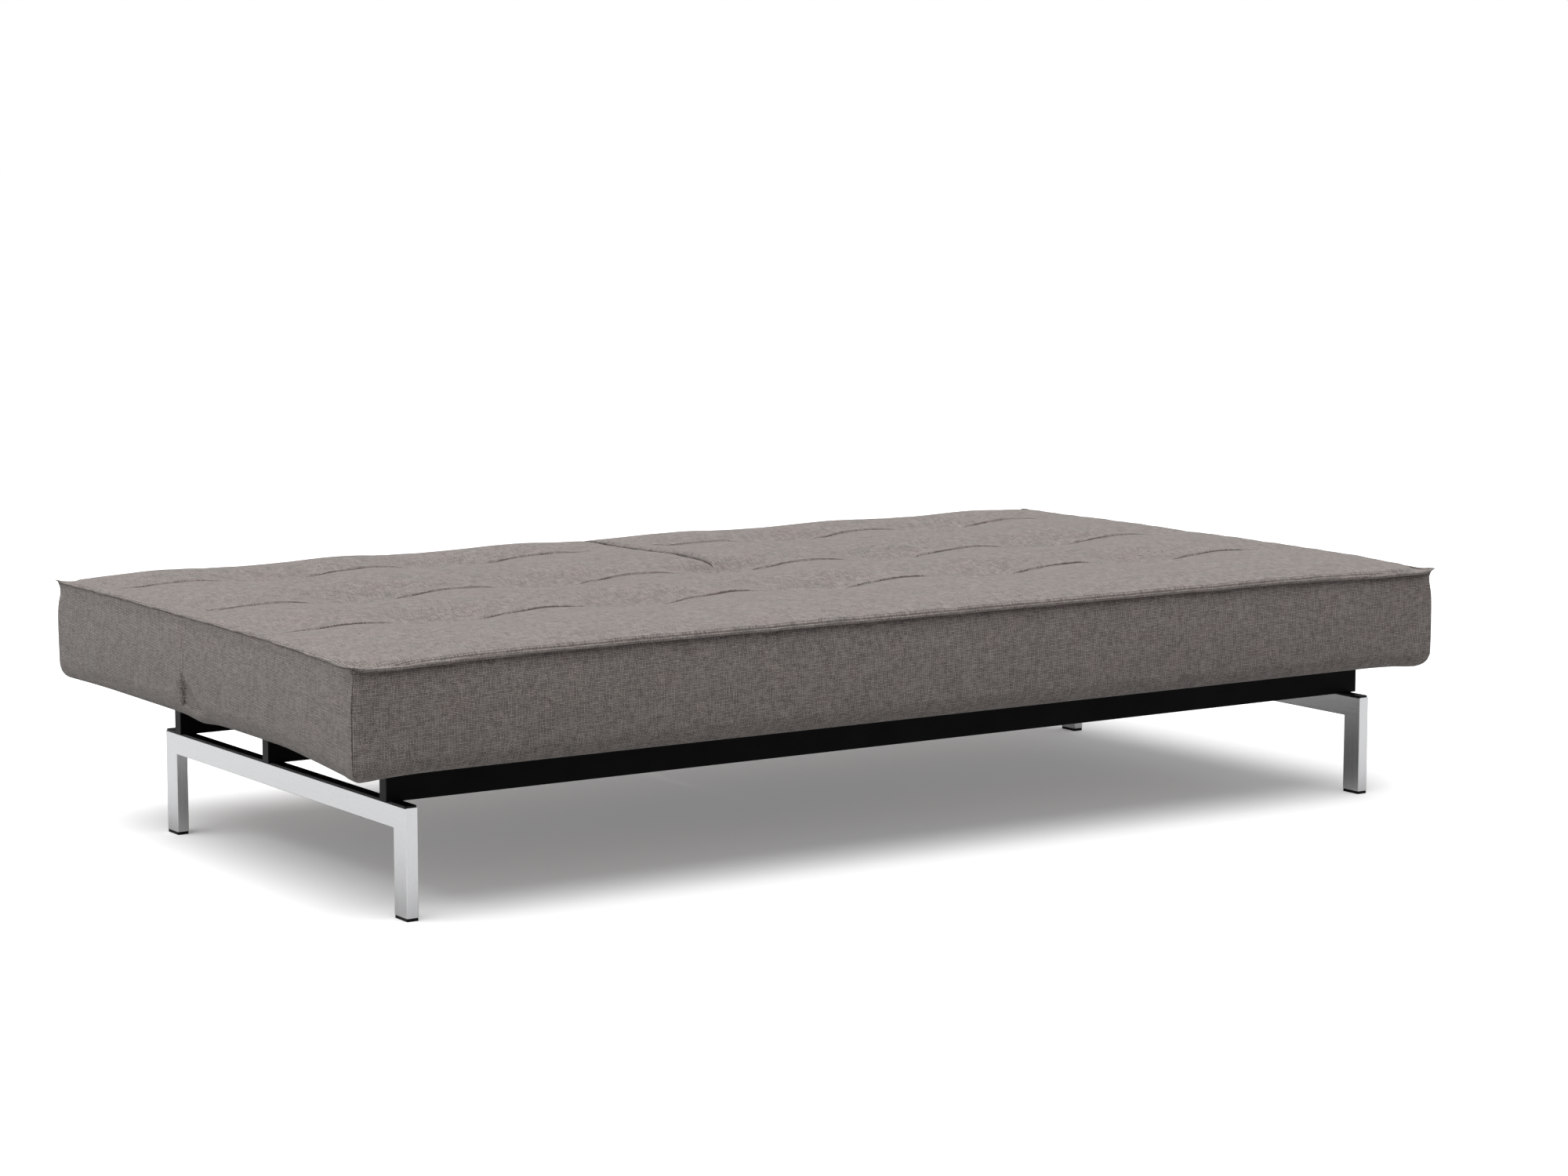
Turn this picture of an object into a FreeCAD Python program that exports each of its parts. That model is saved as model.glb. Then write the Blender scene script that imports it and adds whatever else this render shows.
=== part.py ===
import FreeCAD, Part
import math
import os

# Split-back click-clack sofa bed, shown as a flat bed.
# Millimetres. X runs along the length (left end at -X), the front edge faces -Y, +Z is up.
# Origin: on the floor, under the middle of the mattress.

# ---------- driving dimensions ----------
BED_LENGTH = 2100.0
BED_DEPTH = 1150.0
MATTRESS_BOTTOM = 237.0
MATTRESS_TOP = 404.0
FOLD_Y = 30.0            # line of the fold between the seat and the two back halves
SLIT_GAP = 8.0           # between the two back halves

LEG_OUTER_X = 945.5      # outer face of each leg frame
LEG_THICK = 20.0         # tube size along X
LEG_WIDE = 40.0          # tube size of an upright along Y
BAR_TALL = 35.0          # tube size of the bar along Z
LEG_FRONT_Y = -533.0
LEG_REAR_Y = 308.5
BAR_TOP = 170.0
LEG_WALL = 1.5
LEG_EDGE = 1.5           # rounding of the tube's long edges

CAP_TALL = 5.0
CAP_INSET = 0.6
CAP_PLUG_TALL = 20.0
CAP_EDGE = 1.2

STRIP_TALL = 3.0
STRIP_END_INSET = 1.0
STRIP_SIDE_INSET = 0.3
STRIP_CORNER = 4.0

RAIL_WIDE = 20.0
RAIL_TALL = 60.0
RAIL_WALL = 2.0
RAIL_EDGE = 2.0
RAIL_HALF_LENGTH = 955.0
RAIL_FRONT_FACES = {"front": -489.0, "middle": -95.0, "rear": 230.0}
PLUG_PLATE = 2.0
PLUG_DEEP = 15.0
PLUG_FLOOR = 12.0        # the plug stays clear of the rail screw and its nut
RAIL_BOLT_REACH = 12.0   # of each rail screw above the strip
RAIL_NUT_R = 7.0
RAIL_NUT_TALL = 7.0

CROSS_TALL = 30.0
CROSS_WALL = 2.0

SLAT_WIDE = 60.0
SLAT_THICK = 8.0
SLAT_EDGE = 3.0
SEAT_SLAT_XS = [-770.0, -575.0, -385.0, -190.0, 0.0, 190.0, 385.0, 575.0, 770.0]
BACK_SLAT_XS = [130.0, 295.0, 460.0, 625.0, 790.0]
SLAT_SCREW_R = 2.5
SLAT_SCREW_HEAD_R = 4.5
SLAT_SCREW_HEAD_TALL = 2.0
SLAT_SCREW_LONG = 13.0

BACK_TUBE_WIDE = 20.0
BACK_TUBE_TALL = 25.0
BACK_TUBE_WALL = 1.5
BACK_FRAME_LOW = 240.0
BACK_FRAME_FRONT = 70.0
BACK_FRAME_REAR = 500.0
BUFFER_LONG = 18.0
BUFFER_CLEAR = 0.4
BUFFER_INSET = 1.0

PIVOT_Y = FOLD_Y
PIVOT_Z = 350.0
PIVOT_BOLT_R = 5.0
PIVOT_RUNNING = 0.06     # radial clearance of the turning plates on the bolt
PLATE_THICK = 4.0
PLATE_AIR = 0.6          # between the fixed plate and the ratchet
EYE_R = 22.0
PIVOT_HEAD_R = 9.0
PIVOT_HEAD_TALL = 4.0
RATCHET_R = 30.0
NOTCH_DEEP = 6.0
NOTCH_WIDE_DEG = 18.0
STOP_ANGLES = [35.0, 68.0]      # lounge and sofa positions of the back
PAWL_NOSE_DEG = 263.0           # where the pawl's nose meets the ratchet
PAWL_PIN_Y = -14.0
PAWL_PIN_Z = 314.0
PAWL_PIN_R = 3.5
PAWL_EYE_R = 8.0
PAWL_AIR = 0.4
PAWL_PIN_HEAD_R = 6.0
PAWL_PIN_HEAD_TALL = 2.0
SPRING_POST = (-30.0, 288.0)
SPRING_POST_R = 4.0
SPRING_LEAF = [(-32.0, 290.0), (-32.0, 286.0), (12.0, 294.0), (20.0, 301.0), (18.0, 302.0), (11.0, 296.0)]
SEAT_PLATE_FRONT = -60.0
SEAT_PLATE_REAR = 20.0
BACK_PLATE_REAR = 175.0
FIXED_BOLT_YS = [-45.0, 5.0]
TURNING_BOLT_YS = [110.0, 160.0]
INNER_TUBE_X = 25.0             # innermost face of each back frame
OUTER_TUBE_X = 892.6            # outermost face of each back frame

FRAME_BOLT_R = 4.0
FRAME_BOLT_HEAD_R = 6.5
FRAME_BOLT_HEAD_TALL = 5.0
HEX_ACROSS = 13.0
PLATE_BOLT_REACH = 6.0          # of each plate bolt into the tube behind its plate
BOLT_PLAY = 0.3
ACCESS_PLAY = 1.5               # round the heads, in the underside of the bars
NUT_PLAY = 0.05

CUSHION_EDGE = 16.0
NOTCH_HALF_DEG = 40.0           # the fold's foam is cut back by this angle on each side
FOLD_AIR = 1.0
SLOT_SIDE = 6.0
SLOT_ROUND = 36.0
SLOT_FRONT = -75.0
SLOT_REAR = 180.0
SEAT_RECESS_AIR = 5.0           # round the slats, under the seat foam
BACK_RECESS_AIR = 3.0           # round the frame, under each back half
THROUGH = 50.0                  # enough for a bore to pass right through a plate

# ---------- sizes worked out from those ----------
STRIP_TOP = BAR_TOP + STRIP_TALL
RAIL_TOP = STRIP_TOP + RAIL_TALL
LEG_INNER_X = LEG_OUTER_X - LEG_THICK
LEG_MID_X = LEG_OUTER_X - LEG_THICK / 2
BACK_FRAME_TOP = BACK_FRAME_LOW + BACK_TUBE_TALL
SEAT_SLAT_TOP = RAIL_TOP + SLAT_THICK
BACK_SLAT_TOP = BACK_FRAME_TOP + SLAT_THICK
SIDES = {"left": -1.0, "right": 1.0}


# ---------- small helpers ----------
def block(x0, x1, y0, y1, z0, z1):
    """Box between two corners, given in any order along X."""
    low = FreeCAD.Vector(min(x0, x1), y0, z0)
    return Part.makeBox(abs(x1 - x0), y1 - y0, z1 - z0, low)


def plate(points, x0, x1):
    """Outline of (y, z) points, extruded along X from x0 to x1."""
    corners = [FreeCAD.Vector(min(x0, x1), y, z) for y, z in points]
    face = Part.Face(Part.makePolygon(corners + corners[:1]))
    return face.extrude(FreeCAD.Vector(abs(x1 - x0), 0, 0))


def rod_x(y, z, radius, x0, x1):
    """Round bar along X."""
    base = FreeCAD.Vector(min(x0, x1), y, z)
    return Part.makeCylinder(radius, abs(x1 - x0), base, FreeCAD.Vector(1, 0, 0))


def rod_z(x, y, radius, z0, z1):
    """Round bar along Z."""
    return Part.makeCylinder(radius, z1 - z0, FreeCAD.Vector(x, y, z0), FreeCAD.Vector(0, 0, 1))


def edges_along(shape, direction):
    """Straight edges of a shape that run along a direction."""
    found = []
    for edge in shape.Edges:
        first, last = edge.Vertexes[0].Point, edge.Vertexes[-1].Point
        run = last.sub(first)
        if run.Length > 1e-6 and run.normalize().cross(direction).Length < 1e-6:
            found.append(edge)
    return found


def box_tube(x0, x1, y0, y1, z0, z1, wall, along):
    """Rectangular tube, open at both ends, whose length runs along 'x' or 'y'."""
    outer = block(x0, x1, y0, y1, z0, z1)
    low, high = min(x0, x1), max(x0, x1)
    if along == "x":
        inner = block(low, high, y0 + wall, y1 - wall, z0 + wall, z1 - wall)
    else:
        inner = block(low + wall, high - wall, y0, y1, z0 + wall, z1 - wall)
    return outer.cut(inner)


def hexagon(centre_y, centre_z, across, x0, x1):
    """Hexagonal head or nut on a bolt that runs along X."""
    radius = across / math.sqrt(3.0)
    ring = [math.radians(60.0 * k) for k in range(6)]
    points = [(centre_y + radius * math.cos(a), centre_z + radius * math.sin(a)) for a in ring]
    return plate(points, x0, x1)


def write(name, solids):
    """Write one node as a STEP file holding one or more separate solids."""
    shape = solids[0] if len(solids) == 1 else Part.makeCompound(solids)
    for solid in shape.Solids:
        if not solid.isValid():
            raise ValueError(name + " has a solid that is not valid")
    shape.exportStep(os.path.join("parts", name + ".step"))


# ---------- leg frames ----------
def leg_frame(side):
    """Inverted U of rectangular stainless tube, open at the two feet."""
    def bent(inset, x0, x1, foot):
        front, rear = LEG_FRONT_Y + inset, LEG_REAR_Y - inset
        top = BAR_TOP - inset
        inner_front = LEG_FRONT_Y + LEG_WIDE - inset
        inner_rear = LEG_REAR_Y - LEG_WIDE + inset
        under = BAR_TOP - BAR_TALL + inset
        outline = [(front, foot), (inner_front, foot), (inner_front, under), (inner_rear, under),
                   (inner_rear, foot), (rear, foot), (rear, top), (front, top)]
        return plate(outline, x0, x1)

    body = bent(0.0, side * LEG_INNER_X, side * LEG_OUTER_X, CAP_TALL)
    long_edges = [edge for edge in body.Edges if abs(edge.BoundBox.XLength) < 1e-6]
    foot_edges = [edge for edge in long_edges if edge.BoundBox.ZMax < CAP_TALL + 1e-6]
    rounded = [edge for edge in long_edges if not any(edge.isSame(foot) for foot in foot_edges)]
    body = body.makeFillet(LEG_EDGE, rounded)
    hollow = bent(LEG_WALL, side * (LEG_INNER_X + LEG_WALL), side * (LEG_OUTER_X - LEG_WALL), CAP_TALL - 1.0)
    body = body.cut(hollow)
    for x, y in bolt_places(side):
        body = body.cut(rod_z(x, y, FRAME_BOLT_R + BOLT_PLAY, BAR_TOP - 3.0, BAR_TOP + 1.0))
        body = body.cut(rod_z(x, y, FRAME_BOLT_HEAD_R + ACCESS_PLAY, BAR_TOP - BAR_TALL - 1.0,
                              BAR_TOP - BAR_TALL + 3.0))
    return body


def bolt_places(side):
    """Where the rails are bolted down to one leg frame."""
    return [(side * LEG_MID_X, face + RAIL_WIDE / 2) for face in RAIL_FRONT_FACES.values()]


def foot_cap(side, centre_y):
    """Plastic foot with a plug that fills the end of the upright."""
    half_x, half_y = LEG_THICK / 2 - CAP_INSET, LEG_WIDE / 2 - CAP_INSET
    middle = side * LEG_MID_X
    pad = block(middle - half_x, middle + half_x, centre_y - half_y, centre_y + half_y, 0.0, CAP_TALL)
    pad = pad.makeFillet(CAP_EDGE, edges_along(pad, FreeCAD.Vector(0, 0, 1)))
    plug_x, plug_y = LEG_THICK / 2 - LEG_WALL, LEG_WIDE / 2 - LEG_WALL
    plug = block(middle - plug_x, middle + plug_x, centre_y - plug_y, centre_y + plug_y,
                 CAP_TALL, CAP_TALL + CAP_PLUG_TALL)
    return pad.fuse(plug).removeSplitter()


def leg_strip(side):
    """Flat black strip between the bar and the rails, with rounded ends."""
    strip = block(side * (LEG_INNER_X + STRIP_SIDE_INSET), side * (LEG_OUTER_X - STRIP_SIDE_INSET),
                  LEG_FRONT_Y + STRIP_END_INSET, LEG_REAR_Y - STRIP_END_INSET, BAR_TOP, STRIP_TOP)
    strip = strip.makeFillet(STRIP_CORNER, edges_along(strip, FreeCAD.Vector(0, 0, 1)))
    for x, y in bolt_places(side):
        strip = strip.cut(rod_z(x, y, FRAME_BOLT_R + BOLT_PLAY, BAR_TOP - 1.0, STRIP_TOP + 1.0))
    return strip


# ---------- base rails ----------
def base_rail(front_face):
    """Long rectangular steel tube standing on edge across both leg frames."""
    half = RAIL_HALF_LENGTH - PLUG_PLATE
    rail = block(-half, half, front_face, front_face + RAIL_WIDE, STRIP_TOP, RAIL_TOP)
    rail = rail.makeFillet(RAIL_EDGE, edges_along(rail, FreeCAD.Vector(1, 0, 0)))
    inner = block(-half, half, front_face + RAIL_WALL, front_face + RAIL_WIDE - RAIL_WALL,
                  STRIP_TOP + RAIL_WALL, RAIL_TOP - RAIL_WALL)
    rail = rail.cut(inner)
    for side in SIDES.values():
        rail = rail.cut(rod_z(side * LEG_MID_X, front_face + RAIL_WIDE / 2, FRAME_BOLT_R + BOLT_PLAY,
                              STRIP_TOP - 1.0, STRIP_TOP + RAIL_WALL + 1.0))
    return rail


def rail_plugs():
    """Plastic plugs that close both ends of every rail."""
    solids = []
    for face in RAIL_FRONT_FACES.values():
        for side in SIDES.values():
            end = side * RAIL_HALF_LENGTH
            lid = block(end - side * PLUG_PLATE, end, face, face + RAIL_WIDE, STRIP_TOP, RAIL_TOP)
            lid = lid.makeFillet(RAIL_EDGE, edges_along(lid, FreeCAD.Vector(1, 0, 0)))
            insert = block(end - side * (PLUG_PLATE + PLUG_DEEP), end - side * PLUG_PLATE,
                           face + RAIL_WALL, face + RAIL_WIDE - RAIL_WALL,
                           STRIP_TOP + RAIL_WALL + PLUG_FLOOR, RAIL_TOP - RAIL_WALL)
            solids.append(lid.fuse(insert).removeSplitter())
    return solids


def rail_bolts():
    """Screws that clamp each leg frame and its strip up against the rails."""
    solids = []
    top_wall = BAR_TOP - LEG_WALL
    for side in SIDES.values():
        for x, y in bolt_places(side):
            head = rod_z(x, y, FRAME_BOLT_HEAD_R, top_wall - FRAME_BOLT_HEAD_TALL, top_wall)
            shank = rod_z(x, y, FRAME_BOLT_R, top_wall - 1.0, STRIP_TOP + RAIL_BOLT_REACH)
            solids.append(head.fuse(shank).removeSplitter())
    return solids


def rail_nuts():
    """Nuts inside the rails, one on each rail screw."""
    solids = []
    for side in SIDES.values():
        for x, y in bolt_places(side):
            low = STRIP_TOP + RAIL_WALL
            high = low + RAIL_NUT_TALL
            ring = rod_z(x, y, RAIL_NUT_R, low, high)
            solids.append(ring.cut(rod_z(x, y, FRAME_BOLT_R + NUT_PLAY, low - 1.0, high + 1.0)))
    return solids


def cross_tube_span(place, side):
    """X range of the base's cross tubes, beside the hinge plates of one back half."""
    if place == "outer":
        face = side * (OUTER_TUBE_X - BACK_TUBE_WIDE - 3 * PLATE_THICK - PLATE_AIR)
        return face - side * RAIL_WIDE, face
    face = side * (INNER_TUBE_X + BACK_TUBE_WIDE + 3 * PLATE_THICK + PLATE_AIR)
    return face, face + side * RAIL_WIDE


def cross_tube(place, side, bay):
    """Tube welded between two neighbouring rails."""
    x0, x1 = cross_tube_span(place, side)
    start, stop = ("front", "middle") if bay == "seat" else ("middle", "rear")
    y0, y1 = RAIL_FRONT_FACES[start] + RAIL_WIDE, RAIL_FRONT_FACES[stop]
    return box_tube(x0, x1, y0, y1, RAIL_TOP - CROSS_TALL, RAIL_TOP, CROSS_WALL, "y")


def seat_slat_span():
    """Y range of the seat slats, resting on the front and middle rails."""
    return RAIL_FRONT_FACES["front"], RAIL_FRONT_FACES["middle"] + RAIL_WIDE


def slats(centres, y0, y1, low):
    """Row of flat plywood slats that run front to back."""
    solids = []
    for x in centres:
        slat = block(x - SLAT_WIDE / 2, x + SLAT_WIDE / 2, y0, y1, low, low + SLAT_THICK)
        solids.append(slat.makeFillet(SLAT_EDGE, edges_along(slat, FreeCAD.Vector(0, 1, 0))))
    return solids


def slat_screws(centres, ys, top):
    """Pan-head screws that hold the slats to the tubes under them."""
    solids = []
    for x in centres:
        for y in ys:
            head = rod_z(x, y, SLAT_SCREW_HEAD_R, top, top + SLAT_SCREW_HEAD_TALL)
            shank = rod_z(x, y, SLAT_SCREW_R, top - SLAT_SCREW_LONG, top + 0.5)
            solids.append(head.fuse(shank).removeSplitter())
    return solids


def drilled(shapes, centres, ys, low, high):
    """The shapes with a screw hole at each place."""
    result = []
    for shape in shapes:
        box = shape.BoundBox
        for x in centres:
            for y in ys:
                if box.XMin < x < box.XMax and box.YMin < y < box.YMax:
                    shape = shape.cut(rod_z(x, y, SLAT_SCREW_R, low, high))
        result.append(shape)
    return result


# ---------- back frames ----------
def back_tube(name, side):
    """One tube of a back half's welded rectangular frame."""
    inner, outer = side * INNER_TUBE_X, side * OUTER_TUBE_X
    low, high = BACK_FRAME_LOW, BACK_FRAME_TOP
    if name == "front":
        return box_tube(inner, outer, BACK_FRAME_FRONT, BACK_FRAME_FRONT + BACK_TUBE_WIDE, low, high,
                        BACK_TUBE_WALL, "x")
    if name == "rear":
        return box_tube(inner, outer, BACK_FRAME_REAR - BACK_TUBE_WIDE, BACK_FRAME_REAR, low, high,
                        BACK_TUBE_WALL, "x")
    x0 = inner if name == "inner" else outer - side * BACK_TUBE_WIDE
    return box_tube(x0, x0 + side * BACK_TUBE_WIDE, BACK_FRAME_FRONT + BACK_TUBE_WIDE,
                    BACK_FRAME_REAR - BACK_TUBE_WIDE, low, high, BACK_TUBE_WALL, "y")


def rear_rail_buffers():
    """Rubber blocks on the rear rail that the back frames lie on."""
    y0 = RAIL_FRONT_FACES["rear"] + BUFFER_INSET
    y1 = RAIL_FRONT_FACES["rear"] + RAIL_WIDE - BUFFER_INSET
    solids = []
    for side in SIDES.values():
        for x in (INNER_TUBE_X, OUTER_TUBE_X - BACK_TUBE_WIDE):
            middle = side * (x + BACK_TUBE_WIDE / 2)
            solids.append(block(middle - BUFFER_LONG / 2, middle + BUFFER_LONG / 2, y0, y1,
                                RAIL_TOP, BACK_FRAME_LOW - BUFFER_CLEAR))
    return solids


# ---------- click-clack hinges ----------
def hinge_layers(place, side):
    """X ranges of the fixed plate, the ratchet and the turning plate, from the base tube outwards."""
    span = cross_tube_span(place, side)
    start = span[1] if place == "outer" else span[0]
    way = side if place == "outer" else -side
    fixed = (start, start + way * PLATE_THICK)
    ratchet = (fixed[1] + way * PLATE_AIR, fixed[1] + way * (PLATE_AIR + PLATE_THICK))
    turning = (ratchet[1], ratchet[1] + way * PLATE_THICK)
    return fixed, ratchet, turning, way


def eye_and_arm(outline, x0, x1, hole_radius):
    """Plate made of an arm outline and a round eye on the pivot, with the pivot hole."""
    body = plate(outline, x0, x1).fuse(rod_x(PIVOT_Y, PIVOT_Z, EYE_R, x0, x1)).removeSplitter()
    return body.cut(rod_x(PIVOT_Y, PIVOT_Z, hole_radius, x0 - THROUGH, x0 + THROUGH))


def fixed_bolt_places():
    """Bolts that hold a fixed plate to the base's cross tube, as (y, z)."""
    return [(y, RAIL_TOP - CROSS_TALL / 2) for y in FIXED_BOLT_YS]


def turning_bolt_places():
    """Bolts that hold a turning plate to the back frame, as (y, z)."""
    middle = BACK_FRAME_LOW + BACK_TUBE_TALL / 2
    return [(y, middle) for y in TURNING_BOLT_YS]


def hinge_seat_plate(place, side):
    """Fixed horn plate that rises from the base to the pivot."""
    fixed = hinge_layers(place, side)[0]
    low = RAIL_TOP - CROSS_TALL + 1.0
    outline = [(SEAT_PLATE_FRONT, low), (SEAT_PLATE_REAR, low), (SEAT_PLATE_REAR + 2.0, RAIL_TOP),
               (PIVOT_Y + EYE_R * 0.92, PIVOT_Z - EYE_R * 0.4),
               (PIVOT_Y - EYE_R * 0.5, PIVOT_Z + EYE_R * 0.86),
               (PAWL_PIN_Y - 12.0, PAWL_PIN_Z + 12.0), (SEAT_PLATE_FRONT, RAIL_TOP + 20.0)]
    body = eye_and_arm(outline, fixed[0], fixed[1], PIVOT_BOLT_R)
    body = body.cut(rod_x(PAWL_PIN_Y, PAWL_PIN_Z, PAWL_PIN_R, fixed[0] - THROUGH, fixed[0] + THROUGH))
    for y, z in fixed_bolt_places():
        body = body.cut(rod_x(y, z, FRAME_BOLT_R, fixed[0] - THROUGH, fixed[0] + THROUGH))
    return body


def hinge_back_plate(place, side):
    """Turning plate bolted to the back frame, above its front tube."""
    turning = hinge_layers(place, side)[2]
    low, high = BACK_FRAME_LOW + 1.5, BACK_FRAME_TOP + 4.0
    heel = BACK_FRAME_FRONT + BACK_TUBE_WIDE + 5.0
    outline = [(heel, low), (BACK_PLATE_REAR, low), (BACK_PLATE_REAR, high - 6.0),
               (PIVOT_Y + EYE_R * 0.7, PIVOT_Z + EYE_R * 0.7),
               (PIVOT_Y - EYE_R * 0.75, PIVOT_Z - EYE_R * 0.65), (heel, high)]
    body = eye_and_arm(outline, turning[0], turning[1], PIVOT_BOLT_R + PIVOT_RUNNING)
    for y, z in turning_bolt_places():
        body = body.cut(rod_x(y, z, FRAME_BOLT_R, turning[0] - THROUGH, turning[0] + THROUGH))
    return body


def polar(radius, degrees):
    """Point around the pivot, as (y, z)."""
    angle = math.radians(degrees)
    return PIVOT_Y + radius * math.cos(angle), PIVOT_Z + radius * math.sin(angle)


def hinge_ratchet(place, side):
    """Notched disc on the turning plate: one notch for each raised position."""
    layer = hinge_layers(place, side)[1]
    disc = rod_x(PIVOT_Y, PIVOT_Z, RATCHET_R, layer[0], layer[1])
    hole = PIVOT_BOLT_R + PIVOT_RUNNING
    disc = disc.cut(rod_x(PIVOT_Y, PIVOT_Z, hole, layer[0] - THROUGH, layer[0] + THROUGH))
    for stop in STOP_ANGLES:
        seat = PAWL_NOSE_DEG - stop
        points = [polar(RATCHET_R - NOTCH_DEEP, seat), polar(RATCHET_R + 2.0, seat),
                  polar(RATCHET_R + 2.0, seat + NOTCH_WIDE_DEG)]
        disc = disc.cut(plate(points, layer[0] - PLATE_THICK, layer[0] + PLATE_THICK))
    return disc


def hinge_pawl(place, side):
    """Sprung lever whose nose rides on the ratchet."""
    layer = hinge_layers(place, side)[1]
    way = hinge_layers(place, side)[3]
    x0, x1 = layer[0] - way * 0.2, layer[1] - way * 0.4
    tip = polar(RATCHET_R + PAWL_AIR, PAWL_NOSE_DEG)
    heel = polar(RATCHET_R + PAWL_AIR + 9.0, PAWL_NOSE_DEG)
    outline = [(PAWL_PIN_Y, PAWL_PIN_Z + PAWL_EYE_R * 0.6), tip, heel, (PAWL_PIN_Y, PAWL_PIN_Z - PAWL_EYE_R)]
    body = plate(outline, x0, x1).fuse(rod_x(PAWL_PIN_Y, PAWL_PIN_Z, PAWL_EYE_R, x0, x1)).removeSplitter()
    body = body.cut(rod_x(PIVOT_Y, PIVOT_Z, RATCHET_R + PAWL_AIR, x0 - THROUGH, x0 + THROUGH))
    return body.cut(rod_x(PAWL_PIN_Y, PAWL_PIN_Z, PAWL_PIN_R + PIVOT_RUNNING, x0 - THROUGH, x0 + THROUGH))


def pivot_bolts():
    """Shoulder bolts through the plates of every hinge."""
    solids = []
    for place, side in all_hinges():
        fixed, _, turning, way = hinge_layers(place, side)
        end = turning[1] + way * 0.4
        head = rod_x(PIVOT_Y, PIVOT_Z, PIVOT_HEAD_R, fixed[0] - way * PIVOT_HEAD_TALL, fixed[0])
        shank = rod_x(PIVOT_Y, PIVOT_Z, PIVOT_BOLT_R, fixed[0] - way * 1.0, end + way * 2.0)
        rivet = rod_x(PIVOT_Y, PIVOT_Z, PIVOT_HEAD_R, end, end + way * PIVOT_HEAD_TALL)
        solids.append(head.fuse([shank, rivet]).removeSplitter())
    return solids


def pawl_pins():
    """Riveted pins that carry the pawls on the fixed plates."""
    solids = []
    for place, side in all_hinges():
        fixed, ratchet, _, way = hinge_layers(place, side)
        head = rod_x(PAWL_PIN_Y, PAWL_PIN_Z, PAWL_PIN_HEAD_R, fixed[0] - way * PAWL_PIN_HEAD_TALL, fixed[0])
        shank = rod_x(PAWL_PIN_Y, PAWL_PIN_Z, PAWL_PIN_R, fixed[0] - way * 1.0, ratchet[1] + way * 0.5)
        cap = rod_x(PAWL_PIN_Y, PAWL_PIN_Z, PAWL_PIN_HEAD_R, ratchet[1],
                    ratchet[1] + way * PAWL_PIN_HEAD_TALL)
        solids.append(head.fuse([shank, cap]).removeSplitter())
    return solids


def pawl_springs():
    """Leaf springs on the fixed plates that push the pawls up to the ratchets."""
    solids = []
    for place, side in all_hinges():
        fixed, ratchet, _, way = hinge_layers(place, side)
        x0, x1 = fixed[1], ratchet[1] - way * 0.5
        post = rod_x(SPRING_POST[0], SPRING_POST[1], SPRING_POST_R, x0, x1)
        solids.append(post.fuse(plate(SPRING_LEAF, x0 + way * 0.5, x1)).removeSplitter())
    return solids


def plate_bolts(places, x_head, way, length):
    """Hex bolts along X through a hinge plate and the tube behind it."""
    solids = []
    for y, z in places:
        head = hexagon(y, z, HEX_ACROSS, x_head, x_head + way * FRAME_BOLT_HEAD_TALL)
        shank = rod_x(y, z, FRAME_BOLT_R, x_head + way * 1.0, x_head - way * length)
        solids.append(head.fuse(shank).removeSplitter())
    return solids


def all_hinges():
    """Every hinge as (place, side): an outer and an inner one on each back half."""
    return [(place, side) for side in SIDES.values() for place in ("outer", "inner")]


def hinge_seat_bolts():
    """Bolts of the fixed plates, with their heads on the hinge side."""
    solids = []
    for place, side in all_hinges():
        fixed, _, _, way = hinge_layers(place, side)
        solids += plate_bolts(fixed_bolt_places(), fixed[1], way, PLATE_THICK + PLATE_BOLT_REACH)
    return solids


def hinge_back_bolts(side):
    """Bolts of one back half's turning plates."""
    solids = []
    for place in ("outer", "inner"):
        _, _, turning, way = hinge_layers(place, side)
        solids += plate_bolts(turning_bolt_places(), turning[0], -way, PLATE_THICK + PLATE_BOLT_REACH)
    return solids


def bolt_bored(shape, places):
    """A tube with the bolt holes of the hinge plate beside it."""
    for y, z in places:
        shape = shape.cut(rod_x(y, z, FRAME_BOLT_R, shape.BoundBox.XMin - 1.0, shape.BoundBox.XMax + 1.0))
    return shape


# ---------- cushions ----------
def hinge_slot(place, side, y0, y1):
    """Pocket in the foam round one hinge."""
    fixed, _, turning, way = hinge_layers(place, side)
    x0, x1 = fixed[0] - way * SLOT_SIDE, turning[1] + way * (BACK_TUBE_WIDE + 1.0)
    pocket = block(x0, x1, y0, y1, MATTRESS_BOTTOM - 1.0, PIVOT_Z)
    return pocket.fuse(rod_x(PIVOT_Y, PIVOT_Z, SLOT_ROUND, x0, x1))


def soft_block(x0, x1, y0, y1, round_front, round_rear, round_left, round_right):
    """Foam block whose outer edges are rounded and whose fold faces stay flat."""
    body = block(x0, x1, y0, y1, MATTRESS_BOTTOM, MATTRESS_TOP)
    low, high = min(x0, x1), max(x0, x1)

    def is_outer(edge):
        box = edge.BoundBox
        faces = [round_front and box.YMax < y0 + 1e-6, round_rear and box.YMin > y1 - 1e-6,
                 round_left and box.XMax < low + 1e-6, round_right and box.XMin > high - 1e-6]
        return any(faces)

    flat_y = [y0] * (not round_front) + [y1] * (not round_rear)
    flat_x = [low] * (not round_left) + [high] * (not round_right)

    def touches_flat(edge):
        box = edge.BoundBox
        in_y = any(abs(box.YMin - y) < 1e-6 and abs(box.YMax - y) < 1e-6 for y in flat_y)
        in_x = any(abs(box.XMin - x) < 1e-6 and abs(box.XMax - x) < 1e-6 for x in flat_x)
        return in_y or in_x

    chosen = [edge for edge in body.Edges if is_outer(edge) and not touches_flat(edge)]
    return body.makeFillet(CUSHION_EDGE, chosen)


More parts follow.
